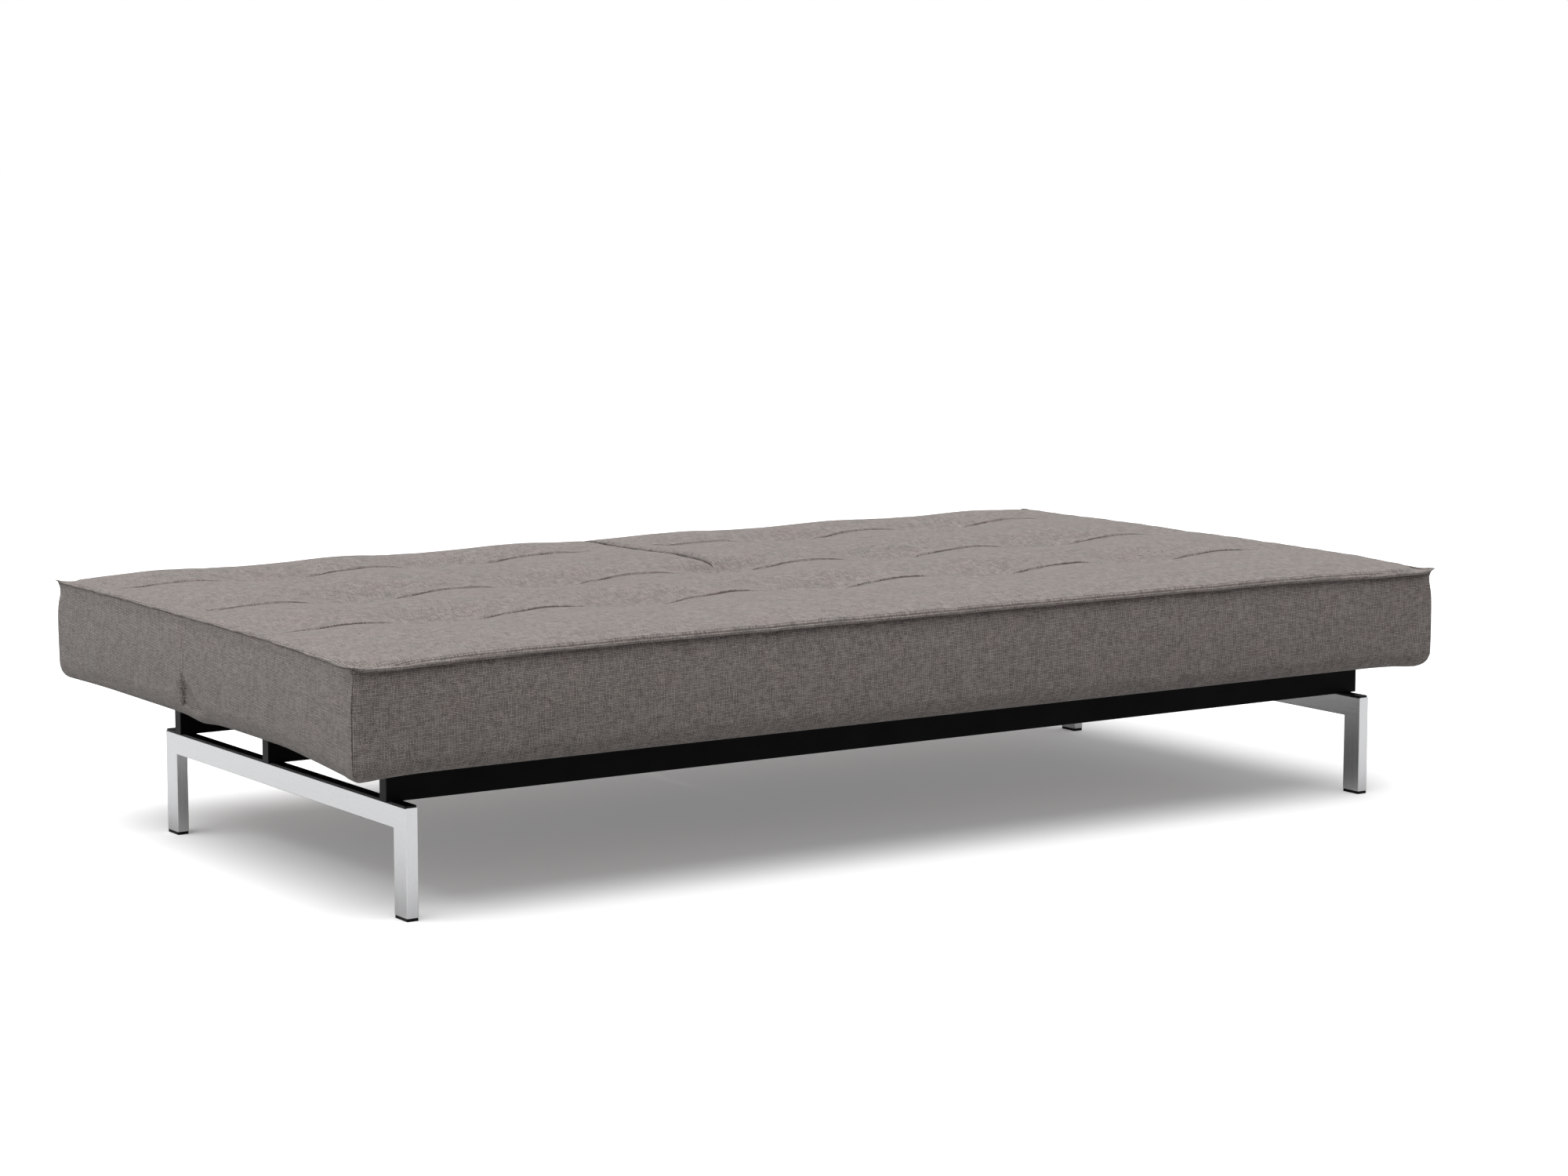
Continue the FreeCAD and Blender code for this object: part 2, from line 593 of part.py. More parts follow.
def fold_wedge(x0, x1, way):
    """Foam taken away above the pivot, so that the raised back has room."""
    rise = MATTRESS_TOP + 1.0 - PIVOT_Z + 4.0
    run = rise * math.tan(math.radians(NOTCH_HALF_DEG))
    start = FOLD_Y + way * FOLD_AIR / 2
    low = PIVOT_Z - 4.0
    outline = [(start - way * 5.0, low), (start, low), (start + way * run, low + rise),
               (start - way * 5.0, low + rise)]
    return plate(outline, x0, x1)


def seat_cushion():
    """Fixed front part of the mattress."""
    half = BED_LENGTH / 2
    rear = FOLD_Y - FOLD_AIR / 2
    body = soft_block(-half, half, -BED_DEPTH / 2, rear, True, False, True, True)
    slat_front, slat_rear = seat_slat_span()
    reach = max(SEAT_SLAT_XS) + SLAT_WIDE / 2 + SEAT_RECESS_AIR
    recess = block(-reach, reach, slat_front - SEAT_RECESS_AIR, slat_rear + SEAT_RECESS_AIR,
                   MATTRESS_BOTTOM - 1.0, SEAT_SLAT_TOP + 3.0)
    body = body.cut(recess)
    body = body.cut(fold_wedge(-half - 1.0, half + 1.0, -1.0))
    for place, side in all_hinges():
        body = body.cut(hinge_slot(place, side, SLOT_FRONT, PIVOT_Y + 1.0))
    return body


def back_cushion(side):
    """One turning half of the mattress."""
    inner, outer = side * SLIT_GAP / 2, side * BED_LENGTH / 2
    front, rear = FOLD_Y + FOLD_AIR / 2, BED_DEPTH / 2
    body = soft_block(inner, outer, front, rear, False, True, side < 0, side > 0)
    recess = block(side * (INNER_TUBE_X - BACK_RECESS_AIR), side * (OUTER_TUBE_X + BACK_RECESS_AIR),
                   BACK_FRAME_FRONT - BACK_RECESS_AIR, BACK_FRAME_REAR + BACK_RECESS_AIR,
                   MATTRESS_BOTTOM - 1.0, BACK_SLAT_TOP + 3.0)
    body = body.cut(recess)
    body = body.cut(fold_wedge(inner - 50.0, outer + 50.0, 1.0) if side > 0
                    else fold_wedge(outer - 50.0, inner + 50.0, 1.0))
    for place in ("outer", "inner"):
        body = body.cut(hinge_slot(place, side, PIVOT_Y - 1.0, SLOT_REAR))
    return body


# ---------- build every piece ----------
def main():
    os.makedirs("parts", exist_ok=True)
    for name, side in SIDES.items():
        write("leg_frame_" + name, [leg_frame(side)])
        write("leg_strip_" + name, [leg_strip(side)])
        write("foot_cap_front_" + name, [foot_cap(side, LEG_FRONT_Y + LEG_WIDE / 2)])
        write("foot_cap_rear_" + name, [foot_cap(side, LEG_REAR_Y - LEG_WIDE / 2)])

    seat_y0, seat_y1 = seat_slat_span()
    seat_screw_ys = [seat_y0 + RAIL_WIDE / 2, seat_y1 - RAIL_WIDE / 2]
    for name, face in RAIL_FRONT_FACES.items():
        rail = drilled([base_rail(face)], SEAT_SLAT_XS, seat_screw_ys, RAIL_TOP - RAIL_WALL - 1.0,
                       RAIL_TOP + 1.0)
        write("base_rail_" + name, rail)
    write("rail_end_plugs", rail_plugs())
    write("rail_bolts", rail_bolts())
    write("rail_nuts", rail_nuts())

    for name, side in SIDES.items():
        for place in ("outer", "inner"):
            rear_tube = bolt_bored(cross_tube(place, side, "rear"), fixed_bolt_places())
            write("base_cross_tube_" + place + "_" + name, [cross_tube(place, side, "seat"), rear_tube])

    seat_slats = slats(SEAT_SLAT_XS, seat_y0, seat_y1, RAIL_TOP)
    write("seat_slats", drilled(seat_slats, SEAT_SLAT_XS, seat_screw_ys, RAIL_TOP - 1.0, SEAT_SLAT_TOP + 1.0))
    write("seat_slat_screws", slat_screws(SEAT_SLAT_XS, seat_screw_ys, SEAT_SLAT_TOP))
    write("rear_rail_buffers", rear_rail_buffers())

    back_screw_ys = [BACK_FRAME_FRONT + BACK_TUBE_WIDE / 2, BACK_FRAME_REAR - BACK_TUBE_WIDE / 2]
    for name, side in SIDES.items():
        centres = [side * x for x in BACK_SLAT_XS]
        for tube in ("front", "rear"):
            shape = drilled([back_tube(tube, side)], centres, back_screw_ys,
                            BACK_FRAME_TOP - BACK_TUBE_WALL - 1.0, BACK_FRAME_TOP + 1.0)
            write("back_frame_" + tube + "_tube_" + name, shape)
        for tube in ("inner", "outer"):
            write("back_frame_" + tube + "_tube_" + name,
                  [bolt_bored(back_tube(tube, side), turning_bolt_places())])
        row = slats(centres, BACK_FRAME_FRONT, BACK_FRAME_REAR, BACK_FRAME_TOP)
        write("back_slats_" + name,
              drilled(row, centres, back_screw_ys, BACK_FRAME_TOP - 1.0, BACK_SLAT_TOP + 1.0))
        write("back_slat_screws_" + name, slat_screws(centres, back_screw_ys, BACK_SLAT_TOP))
        write("hinge_back_bolts_" + name, hinge_back_bolts(side))
        write("back_cushion_" + name, [back_cushion(side)])
        for place in ("outer", "inner"):
            tail = "_" + place + "_" + name
            write("hinge_seat_plate" + tail, [hinge_seat_plate(place, side)])
            write("hinge_back_plate" + tail, [hinge_back_plate(place, side)])
            write("hinge_ratchet" + tail, [hinge_ratchet(place, side)])
            write("hinge_pawl" + tail, [hinge_pawl(place, side)])
    write("hinge_pivot_bolts", pivot_bolts())
    write("hinge_pawl_pins", pawl_pins())
    write("hinge_pawl_springs", pawl_springs())
    write("hinge_seat_bolts", hinge_seat_bolts())
    write("seat_cushion", [seat_cushion()])


main()
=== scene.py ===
"""Split-back sofa bed, shown flat: a quilted mattress on black rails and brushed stainless leg frames.

Everything is in metres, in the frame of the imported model. "Left" is -X, as seen from the front.
"""

import logging
import math
from dataclasses import dataclass
from enum import Enum

import bmesh
import bpy
import numpy as np
from bpy.types import Material, NodeSocket, Object, ShaderNodeTree
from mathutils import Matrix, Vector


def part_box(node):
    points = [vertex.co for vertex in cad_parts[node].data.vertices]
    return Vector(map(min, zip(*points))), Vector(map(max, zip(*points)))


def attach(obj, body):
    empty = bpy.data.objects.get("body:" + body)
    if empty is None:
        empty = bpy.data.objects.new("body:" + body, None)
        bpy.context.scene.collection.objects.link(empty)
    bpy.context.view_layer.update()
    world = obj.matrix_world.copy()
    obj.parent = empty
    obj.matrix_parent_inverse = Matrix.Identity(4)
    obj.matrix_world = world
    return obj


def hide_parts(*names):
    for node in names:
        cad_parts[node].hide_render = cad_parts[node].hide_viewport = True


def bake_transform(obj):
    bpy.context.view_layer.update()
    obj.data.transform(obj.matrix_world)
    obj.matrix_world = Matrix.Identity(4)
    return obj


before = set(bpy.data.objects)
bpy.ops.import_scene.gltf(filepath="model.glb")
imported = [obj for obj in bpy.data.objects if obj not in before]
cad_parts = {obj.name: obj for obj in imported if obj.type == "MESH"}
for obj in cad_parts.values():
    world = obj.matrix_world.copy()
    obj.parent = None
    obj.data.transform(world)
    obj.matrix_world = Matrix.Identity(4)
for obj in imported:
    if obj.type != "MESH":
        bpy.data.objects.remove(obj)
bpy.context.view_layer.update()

log = logging.getLogger("sofa_bed")

MM = 0.001
FINE_PLACES = 40001
WALL_RINGS = 18
CORNER_SEAM_FROM = 4
SHARP_DEGREES = 50
NO_SIZE = 1e-6

Colour = tuple[float, float, float, float]
Mark = tuple[float, float, float]


# ---------- small helpers ----------
def linear(colour: str) -> Colour:
    """Turns an sRGB hex colour into the linear colour that shaders use.

    Args:
        colour: six hex digits, such as "8a7f7b".

    Returns:
        Linear red, green, blue and an alpha of 1.
    """
    parts = [int(colour[at:at + 2], 16) / 255 for at in (0, 2, 4)]
    bent = [p / 12.92 if p <= 0.04045 else ((p + 0.055) / 1.055) ** 2.4 for p in parts]
    return (*bent, 1.0)


def add(tree: ShaderNodeTree, kind: str, inputs: dict | None = None, **settings: object) -> bpy.types.Node:
    """Adds one shader node.

    Args:
        tree: the material's node tree.
        kind: the node's type name.
        inputs: socket name or number to a value, or to the output it is linked from.
        **settings: the node's own properties.

    Returns:
        The new node.
    """
    made = tree.nodes.new(kind)
    for name, value in settings.items():
        setattr(made, name, value)
    for key, value in (inputs or {}).items():
        if isinstance(value, NodeSocket):
            tree.links.new(value, made.inputs[key])
        else:
            made.inputs[key].default_value = value
    return made


def calc(tree: ShaderNodeTree, operation: str, first: NodeSocket,
         second: NodeSocket | float = 0.0) -> NodeSocket:
    """Adds a shader node that calculates one value.

    Args:
        tree: the material's node tree.
        operation: the node's own name for what it does.
        first: the first value.
        second: the second value, where the operation takes two.

    Returns:
        The result.
    """
    return add(tree, "ShaderNodeMath", {0: first, 1: second}, operation=operation).outputs[0]


def remap(tree: ShaderNodeTree, value: NodeSocket, low: float, high: float, to_low: float = 0.0,
          to_high: float = 1.0) -> NodeSocket:
    """Adds a shader node that stretches one range of values onto another and stops at both ends.

    Args:
        tree: the material's node tree.
        value: the value to stretch.
        low: the value that becomes to_low.
        high: the value that becomes to_high.
        to_low: the result's lower end.
        to_high: the result's upper end.

    Returns:
        The stretched value.
    """
    ends = {"From Min": low, "From Max": high, "To Min": to_low, "To Max": to_high}
    return add(tree, "ShaderNodeMapRange", {"Value": value, **ends}).outputs[0]


def mix(tree: ShaderNodeTree, share: NodeSocket | float, low: NodeSocket | Colour,
        high: NodeSocket | Colour, kind: str = "RGBA") -> NodeSocket:
    """Adds a shader node that mixes two colours or two values.

    Args:
        tree: the material's node tree.
        share: how much of the second one shows, 0 to 1.
        low: what shows at 0.
        high: what shows at 1.
        kind: "RGBA" for colours, "FLOAT" for values.

    Returns:
        The mix.
    """
    inputs = {"Factor": share, "A": low, "B": high}
    return add(tree, "ShaderNodeMix", inputs, data_type=kind).outputs["Result"]


def noise(tree: ShaderNodeTree, place: NodeSocket, scale: float, detail: float, roughness: float = 0.5,
          distortion: float = 0.0) -> NodeSocket:
    """Adds a shader node with soft random cloudiness.

    Args:
        tree: the material's node tree.
        place: where to look.
        scale: patches per unit of place.
        detail: how many finer layers there are.
        roughness: how strong the finer layers are.
        distortion: how far the patches are bent.

    Returns:
        A value around 0.5.
    """
    inputs = {"Vector": place, "Scale": scale, "Detail": detail, "Roughness": roughness,
              "Distortion": distortion}
    return add(tree, "ShaderNodeTexNoise", inputs).outputs["Fac"]


def emboss(tree: ShaderNodeTree, shader: bpy.types.Node, height: NodeSocket, strength: float,
           deep: float) -> None:
    """Gives a shader a fine relief.

    Args:
        tree: the material's node tree.
        shader: the shader.
        height: the relief, 0 to 1.
        strength: how much of it shows.
        deep: its depth in metres.
    """
    bump = add(tree, "ShaderNodeBump", {"Height": height, "Strength": strength, "Distance": deep})
    tree.links.new(bump.outputs["Normal"], shader.inputs["Normal"])


def smooth(low: float, high: float, value: np.ndarray) -> np.ndarray:
    """Smooth step from 0 at low to 1 at high.

    Args:
        low: where the step starts.
        high: where the step ends.
        value: the places to look at.

    Returns:
        The step's height at each place.
    """
    part = np.clip((value - low) / (high - low), 0.0, 1.0)
    return part * part * (3.0 - 2.0 * part)


def hump(distance: np.ndarray, run: float | np.ndarray) -> np.ndarray:
    """Bell curve of height 1 that has fallen to about a third at the distance run.

    Args:
        distance: how far each place is from the middle.
        run: how wide the curve is.

    Returns:
        The curve's height at each place.
    """
    return np.exp(-((distance / run) ** 2))


def ripple(place: np.ndarray, lengths: tuple[float, ...], phase: float) -> np.ndarray:
    """Uneven wave between about -1 and 1, made of a few waves that never line up.

    Args:
        place: where to look, in metres.
        lengths: the wave lengths, in metres.
        phase: shifts the waves, so that two ripples differ.

    Returns:
        The wave's height at each place.
    """
    waves = [np.sin(2 * math.pi * place / length + phase * (n + 1.3)) for n, length in enumerate(lengths)]
    return sum(waves) / len(lengths)


def stations(low: float, high: float, widest: float, marks: list[Mark]) -> np.ndarray:
    """Places a mesh's rows, close together at the marks.

    Args:
        low: first place.
        high: last place.
        widest: largest gap between two rows.
        marks: place, gap there, and how fast the gap widens away from it.

    Returns:
        The rows' places, with one exactly at each mark.
    """
    fine = np.linspace(low, high, FINE_PLACES)
    gap = np.full_like(fine, widest)
    for place, smallest, growth in marks:
        gap = np.minimum(gap, smallest + growth * np.abs(fine - place))
    count = np.concatenate([[0.0], np.cumsum(np.diff(fine) * 0.5 * (1 / gap[1:] + 1 / gap[:-1]))])
    rows = np.interp(np.linspace(0.0, count[-1], int(round(count[-1])) + 1), count, fine)
    for place, _, _ in marks:
        rows[np.argmin(np.abs(rows - place))] = place
    return rows


# ---------- finishes ----------
@dataclass(frozen=True)
class Finish:
    """What a real surface is: its name and typical values."""

    name: str
    colour: str
    roughness: float
    metallic: float = 0.0

    def start(self) -> tuple[Material, ShaderNodeTree, bpy.types.Node]:
        """Starts the material with a Principled shader that has this finish's values.

        Returns:
            The material, its node tree and its shader.
        """
        material = bpy.data.materials.new(self.name)
        material.use_nodes = True
        tree = material.node_tree
        shader = tree.nodes["Principled BSDF"]
        shader.inputs["Base Color"].default_value = linear(self.colour)
        shader.inputs["Roughness"].default_value = self.roughness
        shader.inputs["Metallic"].default_value = self.metallic
        return material, tree, shader

    def make(self) -> Material:
        """Makes the material.

        Returns:
            The material.
        """
        return self.start()[0]


@dataclass(frozen=True)
class MelangeWeave(Finish):
    """Plain weave of mixed taupe and grey yarn, piece-dyed polyester on a foam-backed cover.

    The yarns are uneven, so single threads show lighter and darker for a few centimetres, and the
    cloth has soft patches that lean to red or to green. It is matt with a faint nap at grazing light.
    Threads are about 1 mm apart on the real cloth; they are drawn 2.6 mm apart, because finer ones
    would not show.
    """

    dark_yarn: str = "3c3735"
    light_yarn: str = "a39a96"
    red_patch: str = "756965"
    green_patch: str = "6e6b66"
    thread: float = 2.6 * MM
    slub: float = 14.0 * MM
    patch: float = 60.0 * MM
    unlike: float = 7.31
    # painted light: the next two values darken the pits between threads (painted shade) and lighten the
    # raised threads (painted highlight)
    pit_painted_shade: float = -0.26
    crest_painted_highlight: float = 0.32
    darkest: float = 0.20
    lightest: float = 0.74
    tint: float = 0.30
    nap: float = 0.18

    def make(self) -> Material:
        """Makes the weave on the cover's own UV map, which is in metres along the cut cloth, with a painted
        highlight on the raised threads and painted shade in the pits between them.

        Returns:
            The material.
        """
        material, tree, shader = self.start()
        cloth = add(tree, "ShaderNodeUVMap", uv_map="cloth").outputs["UV"]
        parts = add(tree, "ShaderNodeSeparateXYZ", {"Vector": cloth}).outputs
        warp = self.yarns(tree, parts["Y"], parts["X"], 3.7)
        weft = self.yarns(tree, parts["X"], parts["Y"], 11.2)
        over = calc(tree, "MULTIPLY", self.wave(tree, parts["X"]), self.wave(tree, parts["Y"]))
        both = mix(tree, remap(tree, over, -0.25, 0.25), warp, weft, "FLOAT")
        raised = calc(tree, "ABSOLUTE", over)
        # painted light: the yarn tone plus a painted highlight on raised threads and painted shade in the
        # pits between them
        lit = calc(tree, "ADD", both, remap(tree, raised, 0.0, 1.0, self.pit_painted_shade, self.crest_painted_highlight))
        yarn = add(tree, "ShaderNodeValToRGB", {"Fac": remap(tree, lit, self.darkest, self.lightest)})
        yarn.color_ramp.elements[0].color = linear(self.dark_yarn)
        yarn.color_ramp.elements[1].color = linear(self.light_yarn)
        yarn.color_ramp.elements.new(0.5).color = linear(self.colour)
        tinted = mix(tree, self.tint, yarn.outputs["Color"], self.patches(tree, cloth))
        tree.links.new(tinted, shader.inputs["Base Color"])
        emboss(tree, shader, calc(tree, "ADD", raised, both), 0.6, 0.35 * MM)
        shader.inputs["Sheen Weight"].default_value = self.nap
        shader.inputs["Sheen Roughness"].default_value = 0.5
        shader.inputs["Specular IOR Level"].default_value = 0.15
        return material

    def yarns(self, tree: ShaderNodeTree, across: NodeSocket, along: NodeSocket, seed: float) -> NodeSocket:
        """Lays uneven yarns side by side, each with its own run of light and dark.

        Args:
            tree: the material's node tree.
            across: the place across the yarns.
            along: the place along them.
            seed: sets one layer of yarns apart from the other.

        Returns:
            How light the yarn is there.
        """
        whole = calc(tree, "FLOOR", calc(tree, "MULTIPLY", across, 1 / self.thread))
        apart = calc(tree, "MULTIPLY", whole, self.unlike)
        length = calc(tree, "MULTIPLY", along, 1 / self.slub)
        place = add(tree, "ShaderNodeCombineXYZ", {"X": apart, "Y": length, "Z": seed}).outputs[0]
        return noise(tree, place, 1.0, 1.0)

    def wave(self, tree: ShaderNodeTree, place: NodeSocket) -> NodeSocket:
        """Draws one sine over two threads, for the over and under of the weave.

        Args:
            tree: the material's node tree.
            place: the place across the threads.

        Returns:
            The sine, -1 to 1.
        """
        return calc(tree, "SINE", calc(tree, "MULTIPLY", place, math.pi / self.thread))

    def patches(self, tree: ShaderNodeTree, cloth: NodeSocket) -> NodeSocket:
        """Makes the soft patches that lean to red or to green.

        Args:
            tree: the material's node tree.
            cloth: the place on the cloth.

        Returns:
            The patches' colour.
        """
        scale = (1 / self.patch, 1.6 / self.patch, 1.0)
        spread = add(tree, "ShaderNodeMapping", {"Vector": cloth, "Scale": scale}).outputs["Vector"]
        lean = remap(tree, noise(tree, spread, 1.0, 3.0, 0.55), 0.36, 0.64)
        return mix(tree, lean, linear(self.green_patch), linear(self.red_patch))


@dataclass(frozen=True)
class BrushedStainless(Finish):
    """Stainless steel tube, brushed with a belt along its length and not lacquered.

    The belt leaves fine lines along each tube, which spread highlights across them, and the steel
    keeps faint lighter and darker runs. Lines are drawn 0.7 mm apart, coarser than the real ones.
    """

    line: float = 0.7 * MM
    run: float = 120.0 * MM
    bar_low: float = 0.1355
    shade: str = "c6c7c8"

    def make(self) -> Material:
        """Makes the brushing along Y on the bar and along Z on the uprights.

        Returns:
            The material.
        """
        material, tree, shader = self.start()
        place = add(tree, "ShaderNodeTexCoord").outputs["Object"]
        height = add(tree, "ShaderNodeSeparateXYZ", {"Vector": place}).outputs["Z"]
        is_bar = calc(tree, "GREATER_THAN", height, self.bar_low)
        fine, coarse = 1 / self.line, 1 / self.run
        lines = []
        for scale in ((fine, fine, coarse), (fine, coarse, fine)):
            drawn = add(tree, "ShaderNodeMapping", {"Vector": place, "Scale": scale}).outputs["Vector"]
            lines.append(noise(tree, drawn, 1.0, 4.0, 0.7))
        brush = mix(tree, is_bar, lines[0], lines[1], "FLOAT")
        rough = remap(tree, brush, 0.3, 0.7, self.roughness - 0.07, self.roughness + 0.09)
        tree.links.new(rough, shader.inputs["Roughness"])
        tone = add(tree, "ShaderNodeValToRGB", {"Fac": brush})
        low, high = tone.color_ramp.elements
        low.position, high.position = 0.3, 0.7
        low.color, high.color = linear(self.shade), linear(self.colour)
        tree.links.new(tone.outputs["Color"], shader.inputs["Base Color"])
        emboss(tree, shader, brush, 0.10, 0.08 * MM)
        return material


@dataclass(frozen=True)
class Grained(Finish):
    """A coat, plating, moulding or rubber with a fine even grain and slight changes in gloss.

    Powder coat flows a little before it sets, plastic and rubber take the grain of their mould, and
    plated or oiled steel keeps the marks of its rolling. Handling polishes them in soft patches.
    """

    grain: float = 0.8 * MM
    deep: float = 0.05 * MM
    rub: str = "2a2a2c"
    shine: float = 0.5
    patches: float = 14.0

    def make(self) -> Material:
        """Makes the grain, and rubs the colour a little lighter in soft patches.

        Returns:
            The material.
        """
        material, tree, shader = self.start()
        place = add(tree, "ShaderNodeTexCoord").outputs["Object"]
        grain = noise(tree, place, 1 / self.grain, 3.0)
        cloud = noise(tree, place, self.patches, 4.0)
        gloss = remap(tree, cloud, 0.3, 0.7, self.roughness - 0.06, self.roughness + 0.06)
        tree.links.new(gloss, shader.inputs["Roughness"])
        share = remap(tree, cloud, 0.45, 0.8, 0.0, 0.35)
        tone = mix(tree, share, linear(self.colour), linear(self.rub))
        tree.links.new(tone, shader.inputs["Base Color"])
        emboss(tree, shader, grain, 0.4, self.deep)
        shader.inputs["Specular IOR Level"].default_value = self.shine
        return material


@dataclass(frozen=True)
class BirchPly(Finish):
    """Bent birch plywood with a clear water lacquer: pale, with long figure along each slat.

    The veneers are peeled from the log and glued over a curved mould, so the figure is soft and wide.
    """

    dark: str = "b08c5c"
    figure: float = 9.0 * MM
    along: float = 220.0 * MM

    def make(self) -> Material:
        """Makes the figure along Y, the way the slats run.

        Returns:
            The material.
        """
        material, tree, shader = self.start()
        place = add(tree, "ShaderNodeTexCoord").outputs["Object"]
        scale = (1 / self.figure, 1 / self.along, 1 / self.figure)
        drawn = add(tree, "ShaderNodeMapping", {"Vector": place, "Scale": scale}).outputs["Vector"]
        veins = noise(tree, drawn, 1.0, 5.0, distortion=0.8)
        tone = mix(tree, veins, linear(self.dark), linear(self.colour))
        tree.links.new(tone, shader.inputs["Base Color"])
        emboss(tree, shader, veins, 0.2, 0.1 * MM)
        return material


class Finishes(Enum):
    """Every finish on the sofa bed."""

    CLOTH = MelangeWeave("melange_weave_polyester", "706a67", 0.85)
    STAINLESS = BrushedStainless("brushed_stainless_tube", "d4d5d6", 0.30, 1.0)
    BLACK_COAT = Grained("black_powder_coat_steel", "040405", 0.60, grain=0.9 * MM, rub="070708",
                         shine=0.06)
    BLACK_PLASTIC = Grained("moulded_black_polyamide", "060607", 0.50, grain=0.7 * MM, rub="0a0a0b",
                            shine=0.14)
    HINGE_STEEL = Grained("oiled_hardened_steel", "56585b", 0.36, 1.0, grain=1.2 * MM, rub="6e6a66")
    ZINC = Grained("bright_zinc_plate", "a9abad", 0.30, 1.0, grain=2.0 * MM, rub="b8b7b2")
    PLY = BirchPly("lacquered_birch_plywood", "d9bd8e", 0.45)
    RUBBER = Grained("black_rubber", "0d0d0d", 0.75, grain=0.6 * MM, rub="171717")


# ---------- the mattress ----------
class Piece(Enum):
    """The three pieces of the mattress."""

    SEAT = "mattress_seat"
    BACK_LEFT = "mattress_back_left"
    BACK_RIGHT = "mattress_back_right"


class Band(Enum):
    """The bands of the border, from the underside up."""

    ROUND = 1
    WALL = 2
    SEAM = 3


Ring = tuple[Band, float]


@dataclass(frozen=True)
class Recess:
    """A hollow in the underside of the mattress, for slats, a back frame or a hinge."""

    x_low: float
    x_high: float
    y_low: float
    y_high: float
    roof: float


@dataclass
class Mattress:
    """One quilted mattress with a flanged top seam, cut into a seat and two back halves, which turn on the
    real sofa bed but do not turn here.
    """

    half_length: float = 1.053
    half_depth: float = 0.575
    seam_height: float = 0.3975
    underside: float = 0.2365
    corner_radius: float = 5 * MM
    seam_radius: float = 2.5 * MM
    bottom_radius: float = 24 * MM
    crown: float = 17 * MM
    crown_run: float = 55 * MM
    column_gap: float = 0.350
    rows: tuple[float, ...] = (-0.220, 0.070, 0.410)
    crease_half: float = 0.115
    valley_open: float = 24 * MM
    valley_pillow: float = 13 * MM
    valley_front: float = 0.175
    valley_back: float = 0.058
    valley_slit: float = 5 * MM
    crease_step: float = 2.8 * MM
    crease_deep: float = 7 * MM
    fold_start: float = -0.062
    fold_end: float = 0.076
    fold_line: float = 0.035
    slit_end: float = 0.105
    slit_gap: float = 9 * MM
    end_taper: float = 28 * MM
    rear_taper: float = 12 * MM
    wall: float = 3 * MM
    end_ease: float = 0.62
    thin_end: float = 0.28
    dart_top: float = 0.305
    hinge_low: float = -0.075
    hinge_high: float = 0.180

    def recesses(self) -> list[Recess]:
        """Finds the hollows of the underside from the CAD nodes that sit in them.

        Returns:
            The hollows, a few millimetres larger than what sits in them.
        """
        air, hem = 3 * MM, 5 * MM
        low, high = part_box("seat_slats")
        found = [Recess(low.x - hem, high.x + hem, low.y - hem, self.fold_start, high.z + air)]
        pivot_z = self.pivot()[1]
        for side in ("left", "right"):
            frame_low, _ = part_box(f"back_frame_front_tube_{side}")
            _, frame_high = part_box(f"back_frame_rear_tube_{side}")
            ends = [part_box(f"back_frame_{place}_tube_{side}") for place in ("inner", "outer")]
            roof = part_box(f"back_slats_{side}")[1].z + air
            found.append(Recess(min(low.x for low, _ in ends) - air, max(high.x for _, high in ends) + air,
                                frame_low.y - air, frame_high.y + air, roof))
            for place in ("inner", "outer"):
                seat_low, seat_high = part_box(f"hinge_seat_plate_{place}_{side}")
                back_low, back_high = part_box(f"hinge_back_plate_{place}_{side}")
                x_low, x_high = min(seat_low.x, back_low.x), max(seat_high.x, back_high.x)
                found.append(Recess(x_low - 6 * MM, x_high + 6 * MM, self.hinge_low, self.hinge_high,
                                    pivot_z + 36 * MM))
        return found

    def pivot(self) -> tuple[float, float]:
        """Finds the hinges' common axis.

        Returns:
            Its Y and Z.
        """
        low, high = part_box("hinge_pivot_bolts")
        return (low.y + high.y) / 2, (low.z + high.z) / 2

    def wall_marks(self, low: float, high: float) -> list[Mark]:
        """Marks the two walls of a hollow, with one row on either side of each.

        Args:
            low: where the hollow starts.
            high: where it ends.

        Returns:
            The marks.
        """
        return [(place, self.wall, 0.6) for place in (low - self.wall, low, high, high + self.wall)]

    def rows_of_mesh(self) -> tuple[np.ndarray, np.ndarray, list[Ring]]:
        """Places the mesh's rows along X, along Y and down the border.

        Returns:
            Rows along X, rows along Y, and the border's rings from the underside up.
        """
        coarse = 1.0
        x_marks = [(0.0, 0.9 * MM, 0.12), (-self.half_length, 1.0 * MM, 0.2),
                   (self.half_length, 1.0 * MM, 0.2)]
        y_marks = [(-self.half_depth, 1.0 * MM, 0.2), (self.half_depth, 1.0 * MM, 0.2),
                   (self.fold_start, 4.0 * MM, 0.2), (self.fold_line, 2.2 * MM, 0.15)]
        for hollow in self.recesses():
            x_marks += self.wall_marks(hollow.x_low, hollow.x_high)
            y_marks += self.wall_marks(hollow.y_low, hollow.y_high)
        y_marks += [(row, 1.0 * MM, 0.10) for row in self.rows]
        x_rows = stations(-self.half_length, self.half_length, 10 * MM * coarse, x_marks)
        y_rows = stations(-self.half_depth, self.half_depth, 9 * MM * coarse, y_marks)
        rings = [(Band.ROUND, math.radians(angle)) for angle in (90, 75, 60, 45, 30, 15)]
        rings += [(Band.WALL, part) for part in np.linspace(0.0, 1.0, WALL_RINGS)]
        rings += [(Band.SEAM, place) for place in range(len(self.flange()))]
        return x_rows, y_rows, rings

